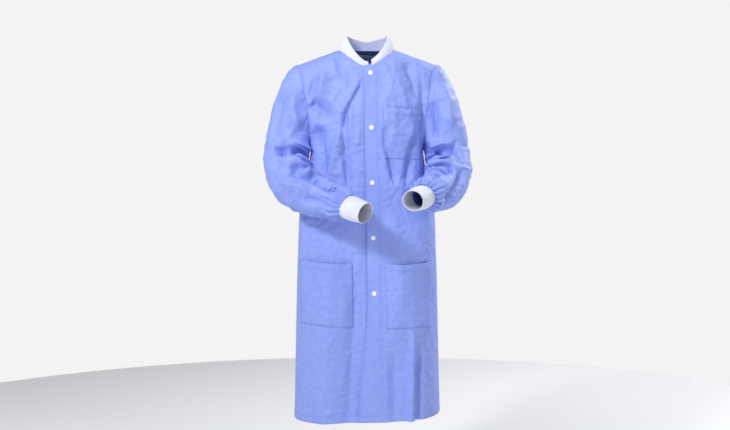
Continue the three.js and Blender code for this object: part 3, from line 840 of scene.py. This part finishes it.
def makeNonwoven(name, colour, paler, deeper):
    # spunbond polypropylene: matt with a slight waxy sheen, cloudy where fibres lie thicker, point bonded
    material, tree = newMaterial(name)
    flat = addNode(tree, "ShaderNodeUVMap", {"uv_map": "flatMetres"})
    place = addNode(tree, "ShaderNodeTexCoord")
    clouds = addNode(tree, "ShaderNodeTexNoise", {"noise_dimensions": "3D"},
                     {"Vector": (place, "Object"), "Scale": 1 / 0.014, "Detail": 5.0, "Roughness": 0.6})
    cloudRamp = addNode(tree, "ShaderNodeValToRGB", inputs={"Fac": (clouds, "Fac")}, stops=[
        (0.30, toLinear(deeper)), (0.52, toLinear(colour)), (0.74, toLinear(paler))])
    strandSpace = addNode(tree, "ShaderNodeMapping", inputs={
        "Vector": (flat, "UV"), "Rotation": (0, 0, 0.35), "Scale": (1 / nonwoven["fibreSpacing"], 130, 1)})
    strands = addNode(tree, "ShaderNodeTexNoise", inputs={
        "Vector": (strandSpace, "Vector"), "Scale": 1.0, "Detail": 3.0, "Roughness": 0.65, "Distortion": 0.6})
    crossSpace = addNode(tree, "ShaderNodeMapping", inputs={
        "Vector": (flat, "UV"), "Rotation": (0, 0, -0.6), "Scale": (160, 1 / nonwoven["fibreSpacing"], 1)})
    crossing = addNode(tree, "ShaderNodeTexNoise", inputs={
        "Vector": (crossSpace, "Vector"), "Scale": 1.0, "Detail": 3.0, "Roughness": 0.65, "Distortion": 0.6})
    fibres = addNode(tree, "ShaderNodeMath", {"operation": "MAXIMUM"}, {0: (strands, "Fac"), 1: (crossing, "Fac")})
    fibreRamp = addNode(tree, "ShaderNodeValToRGB", inputs={"Fac": (fibres, "Value")}, stops=[
        (0.42, (0.90, 0.90, 0.92, 1)), (0.60, (1, 1, 1, 1))])
    fibred = addNode(tree, "ShaderNodeMix", {"data_type": "RGBA", "blend_type": "MULTIPLY"},
                     {"Factor": 0.8, 6: (cloudRamp, "Color"), 7: (fibreRamp, "Color")})
    bondSpace = addNode(tree, "ShaderNodeMapping", inputs={
        "Vector": (flat, "UV"), "Rotation": (0, 0, 0.785),
        "Scale": (1 / nonwoven["bondSpacing"], 1 / nonwoven["bondSpacing"], 1)})
    bonds = addNode(tree, "ShaderNodeTexVoronoi", {"voronoi_dimensions": "2D", "feature": "F1"},
                    {"Vector": (bondSpace, "Vector"), "Scale": 1.0, "Randomness": 0.0})
    bondDot = addNode(tree, "ShaderNodeMapRange", {"interpolation_type": "SMOOTHSTEP"}, {
        "Value": (bonds, "Distance"), "From Min": 0.18, "From Max": 0.34, "To Min": 0.0, "To Max": 1.0})
    bondColour = addNode(tree, "ShaderNodeMapRange", inputs={
        "Value": (bondDot, "Result"), "From Min": 0.0, "From Max": 1.0, "To Min": 0.93, "To Max": 1.0})
    bonded = addNode(tree, "ShaderNodeMix", {"data_type": "RGBA", "blend_type": "MULTIPLY"},
                     {"Factor": 1.0, 6: (fibred, 2), 7: (bondColour, "Result")})
    shift = addNode(tree, "ShaderNodeTexNoise", inputs={
        "Vector": (place, "Object"), "Scale": 12.0, "Detail": 2.0, "Roughness": 0.5})
    bent = addNode(tree, "ShaderNodeVectorMath", {"operation": "MULTIPLY_ADD"}, {
        0: (shift, "Color"), 1: (0.06, 0.06, 0.06), 2: (place, "Object")})
    creases = addNode(tree, "ShaderNodeTexVoronoi", {"feature": "DISTANCE_TO_EDGE"}, {
        "Vector": (bent, "Vector"), "Scale": 1 / nonwoven["creaseSize"], "Randomness": 1.0})
    creaseLine = addNode(tree, "ShaderNodeMapRange", {"interpolation_type": "SMOOTHSTEP"}, {
        "Value": (creases, "Distance"), "From Min": 0.0, "From Max": 0.11, "To Min": 0.0, "To Max": 1.0})
    swell = addNode(tree, "ShaderNodeTexNoise", inputs={
        "Vector": (place, "Object"), "Scale": 32.0, "Detail": 3.0, "Roughness": 0.5})
    soft = addNode(tree, "ShaderNodeBump", inputs={
        "Strength": 0.35, "Distance": 0.004, "Height": (swell, "Fac")})
    creased = addNode(tree, "ShaderNodeBump", inputs={
        "Strength": 0.30, "Distance": 0.0012, "Height": (creaseLine, "Result"), "Normal": (soft, "Normal")})
    fibreBump = addNode(tree, "ShaderNodeBump", inputs={
        "Strength": 0.30, "Distance": 0.00025, "Height": (fibres, "Value"), "Normal": (creased, "Normal")})
    bondBump = addNode(tree, "ShaderNodeBump", inputs={
        "Strength": 0.5, "Distance": 0.0003, "Height": (bondDot, "Result"), "Normal": (fibreBump, "Normal")})
    rough = addNode(tree, "ShaderNodeMapRange", inputs={
        "Value": (bondDot, "Result"), "From Min": 0.0, "From Max": 1.0,
        "To Min": nonwoven["roughness"] - 0.16, "To Max": nonwoven["roughness"]})
    shader = addNode(tree, "ShaderNodeBsdfPrincipled", inputs={
        "Base Color": (bonded, 2), "Roughness": (rough, "Result"), "IOR": 1.49, "Specular IOR Level": 0.5,
        "Sheen Weight": 0.06, "Sheen Roughness": 0.5, "Normal": (bondBump, "Normal")})
    shader.inputs["Sheen Tint"].default_value = toLinear("#c9d4ff")
    addNode(tree, "ShaderNodeOutputMaterial", inputs={"Surface": (shader, "BSDF")})
    return material


ribKnit = {"colour": "#e2e5f3", "shade": "#bfc6e0", "loop": 0.0016}


def makeRibKnit(name):
    # cotton and elastane rib: soft white, a small v of loops up each rib, fuzzy at the edge
    material, tree = newMaterial(name)
    flat = addNode(tree, "ShaderNodeUVMap", {"uv_map": "flatMetres"})
    space = addNode(tree, "ShaderNodeSeparateXYZ", inputs={"Vector": (flat, "UV")})
    acrossRib = addNode(tree, "ShaderNodeMath", {"operation": "PINGPONG"},
                        {0: (space, "X"), 1: collar["ribPitch"] / 2})
    skew = addNode(tree, "ShaderNodeMath", {"operation": "MULTIPLY_ADD"},
                   {0: (acrossRib, "Value"), 1: 1.1, 2: (space, "Y")})
    loops = addNode(tree, "ShaderNodeMath", {"operation": "PINGPONG"}, {0: (skew, "Value"), 1: ribKnit["loop"] / 2})
    loopShade = addNode(tree, "ShaderNodeMapRange", {"interpolation_type": "SMOOTHSTEP"}, {
        "Value": (loops, "Value"), "From Min": 0.0, "From Max": ribKnit["loop"] / 2, "To Min": 0.0, "To Max": 1.0})
    place = addNode(tree, "ShaderNodeTexCoord")
    fuzz = addNode(tree, "ShaderNodeTexNoise", inputs={
        "Vector": (place, "Object"), "Scale": 900.0, "Detail": 3.0, "Roughness": 0.6})
    patchy = addNode(tree, "ShaderNodeTexNoise", inputs={
        "Vector": (place, "Object"), "Scale": 60.0, "Detail": 2.0, "Roughness": 0.5})
    height = addNode(tree, "ShaderNodeMath", {"operation": "MULTIPLY_ADD"},
                     {0: (fuzz, "Fac"), 1: 0.5, 2: (loopShade, "Result")})
    shade = addNode(tree, "ShaderNodeMath", {"operation": "MULTIPLY_ADD"},
                    {0: (patchy, "Fac"), 1: 0.5, 2: (loopShade, "Result")})
    ramp = addNode(tree, "ShaderNodeValToRGB", inputs={"Fac": (shade, "Value")}, stops=[
        (0.05, toLinear(ribKnit["shade"])), (0.75, toLinear(ribKnit["colour"]))])
    bump = addNode(tree, "ShaderNodeBump", inputs={"Strength": 0.6, "Distance": 0.0004, "Height": (height, "Value")})
    shader = addNode(tree, "ShaderNodeBsdfPrincipled", inputs={
        "Base Color": (ramp, "Color"), "Roughness": 0.9, "IOR": 1.5, "Specular IOR Level": 0.25,
        "Sheen Weight": 0.3, "Sheen Roughness": 0.6, "Normal": (bump, "Normal")})
    addNode(tree, "ShaderNodeOutputMaterial", inputs={"Surface": (shader, "BSDF")})
    return material


def makeAcetal(name):
    # moulded acetal: white, slightly waxy, faint flow marks
    material, tree = newMaterial(name)
    place = addNode(tree, "ShaderNodeTexCoord")
    flow = addNode(tree, "ShaderNodeTexNoise", inputs={
        "Vector": (place, "Object"), "Scale": 220.0, "Detail": 3.0, "Roughness": 0.5, "Distortion": 1.5})
    ramp = addNode(tree, "ShaderNodeValToRGB", inputs={"Fac": (flow, "Fac")}, stops=[
        (0.3, toLinear("#e6e9f2")), (0.7, toLinear("#f6f7fb"))])
    rough = addNode(tree, "ShaderNodeMapRange", inputs={
        "Value": (flow, "Fac"), "From Min": 0.3, "From Max": 0.7, "To Min": 0.28, "To Max": 0.40})
    bump = addNode(tree, "ShaderNodeBump", inputs={"Strength": 0.15, "Distance": 0.0001, "Height": (flow, "Fac")})
    shader = addNode(tree, "ShaderNodeBsdfPrincipled", inputs={
        "Base Color": (ramp, "Color"), "Roughness": (rough, "Result"), "IOR": 1.48, "Normal": (bump, "Normal")})
    addNode(tree, "ShaderNodeOutputMaterial", inputs={"Surface": (shader, "BSDF")})
    return material


def makeThread(name, hexColour):
    # spun polyester sewing thread: two twisted plies, slightly shiny
    material, tree = newMaterial(name)
    place = addNode(tree, "ShaderNodeTexCoord")
    twist = addNode(tree, "ShaderNodeTexWave", {"bands_direction": "DIAGONAL"}, {
        "Vector": (place, "Object"), "Scale": 500.0, "Distortion": 2.0, "Detail": 1.0})
    base = toLinear(hexColour)
    ramp = addNode(tree, "ShaderNodeValToRGB", inputs={"Fac": (twist, "Fac")}, stops=[
        (0.0, tuple(c * 0.8 for c in base[:3]) + (1,)), (1.0, base)])
    shader = addNode(tree, "ShaderNodeBsdfPrincipled", inputs={
        "Base Color": (ramp, "Color"), "Roughness": 0.55, "IOR": 1.5})
    addNode(tree, "ShaderNodeOutputMaterial", inputs={"Surface": (shader, "BSDF")})
    return material


clothMaterial = makeNonwoven("bluePolypropyleneNonwoven", nonwoven["colour"], nonwoven["paler"], nonwoven["deeper"])
knitMaterial = makeRibKnit("whiteRibKnit")
snapMaterial = makeAcetal("whiteAcetal")
threadMaterial = makeThread("bluePolyesterThread", "#6c84e6")
print("materials ready")


cloth = {"thickness": 0.0008}


def finishCloth(piece, material, rows=()):
    piece.data.materials.append(material)
    wall = piece.modifiers.new("thickness", "SOLIDIFY")
    wall.thickness = cloth["thickness"]
    wall.offset = -1.0
    wall.use_rim = True
    applyModifiers(piece)
    if rows:
        sewOn(piece, rows, threadMaterial)


def flatOf(points):
    width = np.linalg.norm(np.diff(points, axis=1), axis=-1).sum(1).max()
    length = np.linalg.norm(np.diff(points, axis=0), axis=-1).sum(0).max()
    u, v = np.diff(points, axis=1)[:-1], np.diff(points, axis=0)[:, :-1]
    area = np.linalg.norm(np.cross(u, v), axis=-1).sum()
    return (float(width), float(length)), float(min(area, width * length))


hemTurn = 0.018


def hemShape(points, normals):
    # the turned hem stands a hair proud and its stitch line draws the cloth in
    above = points[..., 2] - np.array([hemAt(x) for x in points[..., 0].ravel()]).reshape(points.shape[:2])
    height = 0.0007 * (1 - ease(above, hemTurn - 0.002, hemTurn + 0.001))
    pucker = -0.0009 * np.exp(-((above - hemTurn) / 0.0022) ** 2)
    return points + normals * (height + pucker)[..., None]


def hemLine(points, normals):
    lengths = np.linalg.norm(np.diff(points, axis=0), axis=-1).mean(1)
    row = np.interp(hemTurn, np.concatenate([[0], np.cumsum(lengths)]), np.arange(len(lengths) + 1))
    columns = np.linspace(0.6, points.shape[1] - 1.6, 260)
    return lineOn(points, normals, [(c, row) for c in columns])


def buildFront(name):
    side = 1 if name == "left" else -1
    base = frontGrid(name)
    flip = side < 0
    outward = 1 if side > 0 else -1
    normals = gridNormals(base, outward)
    rows, columns = base.shape[:2]
    strip = panelDetail["stripColumns"]
    c = np.arange(columns)[None, :]
    onPanel = ease(c - strip, 1, 9 if side > 0 else 4)
    keep = seamKeep((rows, columns)) * onPanel
    points = softWaves(base, normals, 3 + side, 0.30, 0.0018, keep)
    calm = 1 - 0.65 * ease(-points[..., 2], 0.42, 0.62)
    points = crumple(points, normals, creasing["front"], side, keep * calm)
    points = raiseFolds(points, normals, frontFolds[name], -1, keep, creasing["front"]["foldStrength"])
    flat, area = flatOf(base)
    hold = np.where(keep < 0.05, 1.0, 0.42 * (1 - keep) + settling["softHold"])
    hold = np.where(np.arange(rows)[:, None] < 3, np.maximum(hold, 0.6), hold)
    skip = np.zeros((rows, columns), bool)
    topRow = panelDetail["skirtRows"] + int(round((coat["neckHeight"] - 1) * panelDetail["yokeRows"]))
    skip[topRow:, :strip] = True
    points = settle(name + "Front", "front", points, hold, flip=flip, skip=skip)
    normals = gridNormals(points, outward)
    # the seam where strip meets panel pulls in a little, with short puckers along it
    seam = np.exp(-((c - strip) / 1.0) ** 2)
    heights = np.arange(rows)[:, None]
    pucker = 0.0005 * np.sin(heights * 1.1 + 2 * np.sin(heights * 0.2)) * np.exp(-(((c - strip - 2.5) / 4.0) ** 2))
    points = points + normals * (-0.0007 * seam + pucker * side)[..., None]
    points = hemShape(points, normals)
    normals = gridNormals(points, outward)
    piece = gridMesh(name + "Front", points, flip=flip, skip=skip, prune=True)
    lines = [hemLine(points, normals)]
    for at in (0.8, strip - 0.9, strip + 0.5):
        lines.append(lineOn(points, normals, [(at, r) for r in np.linspace(0.5, rows - 44, 400)]))
    return piece, points, normals, flat, area, lines


def buildBack():
    v, u = np.meshgrid(panelHeights(), np.linspace(0, 1, panelDetail["backColumns"] + 1), indexing="ij")
    q = shareAcross(u, v)
    leftHalf = panelAcross(1, False, startOf["back"], 0.0, q, v)
    rightHalf = panelAcross(-1, False, startOf["back"], 0.0, q, v)
    base = softenUnderarm(np.concatenate([rightHalf[:, ::-1], leftHalf[:, 1:]], axis=1), 2)
    normals = gridNormals(base, -1)
    rows, columns = base.shape[:2]
    c = np.arange(columns)[None, :]
    fromSide = np.minimum(c, columns - 1 - c)
    keep = ease(fromSide / 18, 0, 1) * ease((rows - 1 - np.arange(rows)[:, None]) / 20, 0, 1)
    points = softWaves(base, normals, 11, 0.34, 0.0022, keep)
    calm = 1 - 0.6 * ease(-points[..., 2], 0.45, 0.65)
    points = crumple(points, normals, creasing["back"], 0, keep * calm)
    points = raiseFolds(points, normals, backFolds, 1, keep, creasing["back"]["foldStrength"])
    hold = np.where(keep < 0.05, 1.0, 0.42 * (1 - keep) + settling["softHold"])
    points = settle("back", "back", points, hold, flip=True)
    normals = gridNormals(points, -1)
    points = hemShape(points, normals)
    normals = gridNormals(points, -1)
    piece = gridMesh("backPanel", points, flip=True)
    flat, area = flatOf(base)
    return piece, flat, area, [hemLine(points, normals)]


leftFront, leftPoints, leftNormals, leftFlat, leftArea, leftLines = buildFront("left")
rightFront, rightPoints, _, rightFlat, rightArea, rightLines = buildFront("right")
backPanel, backFlat, backArea, backLines = buildBack()
print("panels ready")


def buildSleeve(name):
    side = 1 if name == "left" else -1
    rings = armRings(name)
    base, w, angle = sleeveGrid(name, rings)
    normals = gridNormals(base, side)
    rows, columns = base.shape[:2]
    r = np.arange(rows)[:, None]
    keep = ease(r, 1, 12) * (1 - ease(w, 0.90, 0.99))
    points = softWaves(base, normals, 21 + side, 0.16, 0.0022, keep)
    bending = 0.35 + 0.65 * ease(w, 0.25, 0.42)
    points = crumple(points, normals, creasing["sleeve"], side, keep * bending)
    points = raiseFolds(points, normals, sleeveFolds[name], -1, keep, creasing["sleeve"]["foldStrength"])
    points[:, -1] = points[:, 0]
    hold = np.where((w < 0.02) | (w > 0.97), 1.0, settling["softHold"])
    points = bodyAllows(settle(name + "Sleeve", "sleeve", points, hold, closed=True, flip=side < 0))
    normals = gridNormals(points, side)
    points = points + normals * (-0.0014 * np.exp(-((r - 2) / 1.2) ** 2))[..., None]
    # the underarm seam
    seam = np.exp(-(((angle - math.pi) / 0.035) ** 2)) * keep
    points = points - normals * (0.0012 * seam)[..., None]
    piece = gridMesh(name + "Sleeve", points, closed=True, flip=side < 0)
    flat, area = flatOf(base)
    lines = [lineOn(points, normals, [(c, 3.2) for c in np.linspace(0, columns - 1.01, 200)])]
    return piece, flat, area, lines, rings


sleeves = {name: buildSleeve(name) for name in ("left", "right")}
print("sleeves ready")


pockets = {
    "chestPocket": {"on": "left", "corners": [(0.043, -0.166), (0.152, -0.172), (0.150, -0.312), (0.049, -0.309)],
                    "node": "chest_pocket", "droop": 0.004, "mouth": 0.005},
    "leftLowerPocket": {"on": "left", "corners": [(0.050, -0.600), (0.182, -0.596), (0.176, -0.774), (0.053, -0.778)],
                        "node": "left_lower_pocket", "droop": 0.003, "mouth": 0.006},
    "rightLowerPocket": {"on": "right", "corners": [(-0.186, -0.592), (-0.040, -0.598), (-0.038, -0.776),
                                                    (-0.184, -0.768)],
                         "node": "right_lower_pocket", "droop": 0.003, "mouth": 0.006},
}
pocketGap = 0.0012


def buildPocket(name, facts):
    points = leftPoints if facts["on"] == "left" else rightPoints
    grid = points.reshape(-1, 3)
    rows, columns = points.shape[:2]
    faces = [(r * columns + c, r * columns + c + 1, (r + 1) * columns + c + 1, (r + 1) * columns + c)
             for r in range(rows - 1) for c in range(columns - 1)]
    tree = BVHTree.FromPolygons([Vector(v) for v in grid], faces)
    corners = [np.array(c) for c in facts["corners"]]
    down, across = 46, 40
    t, s = np.meshgrid(np.linspace(0, 1, down + 1), np.linspace(0, 1, across + 1), indexing="ij")
    t, s = t[..., None], s[..., None]
    flatPlace = mix(mix(corners[0], corners[1], s), mix(corners[3], corners[2], s), t)
    t, s = t[..., 0], s[..., 0]
    # the mouth hangs a little between its corners
    flatPlace[..., 1] -= facts["droop"] * np.sin(s * math.pi) * (1 - t)
    low = np.zeros(flatPlace.shape[:2] + (3,))
    normals = np.zeros_like(low)
    for i in range(down + 1):
        for j in range(across + 1):
            x, z = flatPlace[i, j]
            hit, normal, _, _ = tree.ray_cast(Vector((x, -1, z)), Vector((0, 1, 0)))
            if hit is None:
                hit, normal = Vector((x, low[i, j - 1][1], z)), Vector(normals[i, j - 1])
            if normal.y > 0:
                normal = -normal
            low[i, j] = hit
            normals[i, j] = normal
    for _ in range(3):
        padded = np.pad(normals, ((1, 1), (1, 1), (0, 0)), mode="edge")
        normals = unit(padded[1:-1, 1:-1] + padded[:-2, 1:-1] + padded[2:, 1:-1] + padded[1:-1, :-2]
                       + padded[1:-1, 2:])
    edge = np.minimum(np.minimum(s, 1 - s) * 4.5, (1 - t) * 6)
    inside = ease(edge, 0, 1)
    lift = pocketGap + inside * 0.0022
    lift = lift + facts["mouth"] * np.exp(-(t / 0.16) ** 2) * np.sin(s * math.pi) ** 0.8
    lift = lift + 0.0012 * np.sin(s * 9 + 2 * t + len(name)) * inside * (1 - 0.4 * t)
    # the turned mouth hem and its stitch line
    pocketHeight = np.linalg.norm(corners[3] - corners[0])
    below = t * pocketHeight
    lift = lift - 0.0009 * np.exp(-((below - 0.019) / 0.0024) ** 2)
    lift = lift + 0.0007 * (1 - ease(below, 0.017, 0.020))
    sewn = low + normals * lift[..., None]
    piece = gridMesh(name, sewn)
    outward = gridNormals(sewn, 1)
    if outward[down // 2, across // 2, 1] > 0:
        outward = -outward
    mesh = piece.data
    if mesh.polygons[(down // 2) * across + across // 2].normal.y > 0:
        mesh.flip_normals()
    flat, area = flatOf(sewn)
    border = ([(0.8, r) for r in np.linspace(0.3, down - 0.8, 60)] + [(c, down - 0.8) for c in
              np.linspace(0.8, across - 0.8, 60)] + [(across - 0.8, r) for r in np.linspace(down - 0.8, 0.3, 60)])
    hemRow = 0.019 / pocketHeight * down
    lines = [lineOn(sewn, outward, border), lineOn(sewn, outward, [(c, hemRow) for c in
             np.linspace(0.8, across - 0.8, 60)])]
    return piece, flat, area, lines


for pocketName, facts in pockets.items():
    piece, flat, area, lines = buildPocket(pocketName, facts)
    finishCloth(piece, clothMaterial, lines)
    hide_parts(facts["node"])
    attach(piece, "root")
print("pockets ready")

finishCloth(leftFront, clothMaterial, leftLines)
finishCloth(rightFront, clothMaterial, rightLines)
finishCloth(backPanel, clothMaterial, backLines)
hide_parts("left_front_panel", "left_placket")
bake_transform(leftFront)
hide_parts("right_front_panel", "right_placket")
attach(rightFront, "root")
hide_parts("back_panel")
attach(backPanel, "root")

for name, (piece, flat, area, lines, rings) in sleeves.items():
    finishCloth(piece, clothMaterial, lines)
    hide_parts(*[f"{name}_sleeve_{part}" for part in ("upper", "elbow", "lower")])
    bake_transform(piece)
print("cloth pieces finished")


def buildCollar():
    lengthAround = 0.46
    columns = int(lengthAround / collar["ribPitch"] * 6)
    u = np.linspace(0, 1, columns + 1)
    neck, around = neckPoint(u)
    base, outwardRows = [], []
    rows = 14
    taper = ease(around, 0.45, 1)
    height = mix(collar["height"], collar["frontHeight"], taper)
    centre = np.array([0.0, (coat["neckFront"][0] + coat["neckBack"][0]) / 2, 0.0])
    inward = centre - neck
    inward[:, 2] = 0
    inward = unit(inward)
    lengths = np.concatenate([[0], np.cumsum(np.linalg.norm(np.diff(neck, axis=0), axis=1))])
    rib = 0.5 + 0.5 * np.cos(2 * math.pi * lengths / collar["ribPitch"])
    for r in range(rows + 1):
        v = r / rows
        up = v * height
        lean = collar["lean"] * v * height / collar["height"]
        bulge = 0.0022 * math.sin(v * math.pi)
        row = neck + inward * (lean - bulge)[:, None]
        row[:, 2] += up - collar["sink"] + 0.0012
        ribbed = row - inward * (collar["ribHeight"] * rib)[:, None]
        base.append(ribbed)
        outwardRows.append(-inward)
    return np.array(base), np.array(outwardRows)


collarGrid, collarOut = buildCollar()
splitAt = int(np.argmin(np.abs(collarGrid[0, :, 0] - 0.046) + (collarGrid[0, :, 1] > -0.02) * 10))
collarBand, collarFlat = bandMesh("collarBand", collarGrid[:, splitAt:], False, collar["thickness"],
                                  collarOut[:, splitAt:])
collarEnd, collarEndFlat = bandMesh("collarLeftEnd", collarGrid[:, :splitAt + 1], False, collar["thickness"],
                                    collarOut[:, :splitAt + 1])
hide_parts("collar")
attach(collarBand, "root")
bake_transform(collarEnd)


def buildCuff(name, rings):
    centre, out, front, along = [part[-1] for part in rings]
    columns = int(2 * math.pi * cuff["radius"] / cuff["ribPitch"]) * 6
    angle = np.linspace(0, 2 * math.pi, columns + 1)
    direction = out * np.cos(angle)[:, None] + front * np.sin(angle)[:, None]
    rib = 0.5 + 0.5 * np.cos(angle * (columns / 6))
    grid, outwards = [], []
    rows = 22
    for r in range(rows + 1):
        v = r / rows
        radius = mix(cuff["radius"], cuff["endRadius"], v) + 0.0012 * math.sin(v * math.pi * 1.5)
        squash = 1 + 0.05 * np.cos(2 * angle + 0.8)
        radius = (radius + cuff["ribHeight"] * rib) * squash
        grid.append(centre + along * (v * cuff["length"] - 0.004) + direction * radius[:, None])
        outwards.append(direction)
    return bandMesh(name + "Cuff", np.array(grid), True, cuff["thickness"], np.array(outwards))


cuffPieces = {}
for name in ("left", "right"):
    piece, flat = buildCuff(name, sleeves[name][-1])
    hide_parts(name + "_cuff")
    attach(piece, name + "_forearm")
    cuffPieces[name] = (piece, flat)

for piece, flat in ((collarBand, collarFlat), (collarEnd, collarEndFlat), cuffPieces["left"], cuffPieces["right"]):
    piece.data.materials.append(knitMaterial)
print("collar and cuffs ready")


snapCap = {"radius": 0.0062, "rim": 0.0013, "height": 0.0020, "dish": 0.0007, "dome": 0.0004, "pin": 0.0011,
           "pinLength": 0.0030, "bevel": 0.0003}


def buildSnapCap():
    deselectAll()
    bpy.ops.mesh.primitive_cylinder_add(vertices=48, radius=snapCap["radius"], depth=snapCap["height"],
                                        location=(0, 0, snapCap["height"] / 2))
    piece = bpy.context.object
    piece.name = "snapCapMaster"
    bpy.ops.object.transform_apply(location=True, rotation=True, scale=True)

    def pick(facingZ):
        bpy.ops.object.mode_set(mode="OBJECT")
        for face in piece.data.polygons:
            face.select = face.normal.z * facingZ > 0.9 and face.center.xy.length < 0.0005
        for edge in piece.data.edges:
            edge.select = False
        for vertex in piece.data.vertices:
            vertex.select = False
        for face in piece.data.polygons:
            if face.select:
                for index in face.vertices:
                    piece.data.vertices[index].select = True
        bpy.ops.object.mode_set(mode="EDIT")
        bpy.ops.mesh.select_mode(type="FACE")

    pick(1)
    bpy.ops.mesh.inset(thickness=snapCap["rim"], depth=0)
    bpy.ops.mesh.inset(thickness=0.0004, depth=-snapCap["dish"])
    bpy.ops.mesh.inset(thickness=0.0012, depth=snapCap["dome"] * 0.6)
    bpy.ops.mesh.inset(thickness=0.0014, depth=snapCap["dome"] * 0.4)
    pick(-1)
    bpy.ops.mesh.inset(thickness=snapCap["radius"] - snapCap["pin"], depth=0)
    bpy.ops.mesh.extrude_region_move(TRANSFORM_OT_translate={"value": (0, 0, -snapCap["pinLength"])})
    bpy.ops.object.mode_set(mode="OBJECT")
    bevel = piece.modifiers.new("roundedEdges", "BEVEL")
    bevel.width = snapCap["bevel"]
    bevel.segments = 3
    bevel.limit_method = "ANGLE"
    bevel.angle_limit = math.radians(35)
    applyModifiers(piece)
    bpy.ops.object.shade_smooth_by_angle(angle=math.radians(40))
    return piece


master = buildSnapCap()
for index in range(1, 6):
    low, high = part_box(f"snap_cap_{index}")
    middle = Vector([(a + b) / 2 for a, b in zip(low, high)])
    # the cloth's own direction at this height
    row = int(np.argmin(np.abs(leftPoints[:, 5, 2] - middle.z)))
    facing = Vector(unit(leftNormals[row, 2:9].mean(0)))
    onCloth = Vector(leftPoints[row, int(np.argmin(np.abs(leftPoints[row, :13, 0] - middle.x)))])
    place = Vector((middle.x, onCloth.y, middle.z))
    turn = Vector((0, 0, 1)).rotation_difference(facing)
    copy = bpy.data.objects.new(f"snapCap{index}", master.data.copy())
    bpy.context.scene.collection.objects.link(copy)
    copy.data.transform(Matrix.Translation(place + facing * 0.0001) @ turn.to_matrix().to_4x4())
    copy.data.materials.append(snapMaterial)
    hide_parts(f"snap_cap_{index}")
    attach(copy, "front_flap")
bpy.data.objects.remove(master)

for nodeName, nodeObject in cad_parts.items():
    if nodeName.startswith(("snap_socket", "snap_stud", "snap_back")):
        nodeObject.data.materials.clear()
        nodeObject.data.materials.append(snapMaterial)
print("snaps ready")


stage = {"floorZ": -1.30, "colour": "#f1f2f5", "radius": 2.4, "horizon": 0.90, "zenith": 0.12}


def buildStage():
    # a plain pale floor
    deselectAll()
    bpy.ops.mesh.primitive_circle_add(vertices=96, radius=stage["radius"], fill_type="NGON",
                                      location=(0, 0, stage["floorZ"]))
    floor = bpy.context.object
    floor.name = "paleFloor"
    bpy.ops.object.transform_apply(location=True, rotation=True, scale=True)
    material, tree = newMaterial("mattPaper")
    shader = addNode(tree, "ShaderNodeBsdfPrincipled", inputs={
        "Base Color": toLinear(stage["colour"]), "Roughness": 0.95})
    addNode(tree, "ShaderNodeOutputMaterial", inputs={"Surface": (shader, "BSDF")})
    floor.data.materials.append(material)


def areaLight(name, place, aim, size, power):
    light = bpy.data.lights.new(name, "AREA")
    light.shape = "RECTANGLE"
    light.size, light.size_y = size
    light.energy = power
    lamp = bpy.data.objects.new(name, light)
    lamp.location = place
    lamp.rotation_euler = (Vector(aim) - Vector(place)).to_track_quat("-Z", "Y").to_euler()
    bpy.context.scene.collection.objects.link(lamp)


buildStage()
lights = {
    "keyLight": {"place": (-1.9, -2.5, 1.6), "aim": (0, 0, -0.45), "size": (0.5, 0.5), "power": 88},
    "fillLight": {"place": (2.2, -2.4, 0.6), "aim": (0, 0, -0.5), "size": (0.8, 0.8), "power": 12},
    "topLight": {"place": (0.0, -0.9, 2.4), "aim": (0, 0, -0.5), "size": (1.2, 0.8), "power": 26},
    "backLight": {"place": (2.3, 2.0, 1.5), "aim": (0, 0, -0.5), "size": (0.7, 0.7), "power": 85},
}
for name, facts in lights.items():
    areaLight(name, **facts)

world = bpy.data.worlds.new("softStudio")
world.use_nodes = True
sky = world.node_tree
sky.nodes.clear()
# a white band round the horizon, dimmer overhead so that the folds keep their shade
skyPlace = addNode(sky, "ShaderNodeTexCoord")
skyHeight = addNode(sky, "ShaderNodeSeparateXYZ", inputs={"Vector": (skyPlace, "Generated")})
offHorizon = addNode(sky, "ShaderNodeMath", {"operation": "ADD"}, {0: (skyHeight, "Z"), 1: 0.08})
awayFromIt = addNode(sky, "ShaderNodeMath", {"operation": "ABSOLUTE"}, {0: (offHorizon, "Value")})
skyShade = addNode(sky, "ShaderNodeMapRange", {"interpolation_type": "SMOOTHSTEP"}, {
    "Value": (awayFromIt, "Value"), "From Min": 0.22, "From Max": 0.50, "To Min": stage["horizon"],
    "To Max": stage["zenith"]})
skyLight = addNode(sky, "ShaderNodeBackground", inputs={"Strength": (skyShade, "Result")})
skyLight.inputs["Color"].default_value = (1, 1, 1, 1)
addNode(sky, "ShaderNodeOutputWorld", inputs={"Surface": (skyLight, "Background")})
bpy.context.scene.world = world
bpy.context.scene.view_settings.view_transform = "Standard"

view = {"lens": 52.8, "sensor": 36, "place": (-0.0056, -3.075, -0.345), "downDegrees": 2.33}
cameraData = bpy.data.cameras.new("camera")
cameraData.lens = view["lens"]
cameraData.sensor_width = view["sensor"]
camera = bpy.data.objects.new("camera", cameraData)
camera.location = view["place"]
camera.rotation_euler = (math.radians(90 - view["downDegrees"]), 0, 0)
bpy.context.scene.collection.objects.link(camera)
bpy.context.scene.camera = camera
print("stage ready")
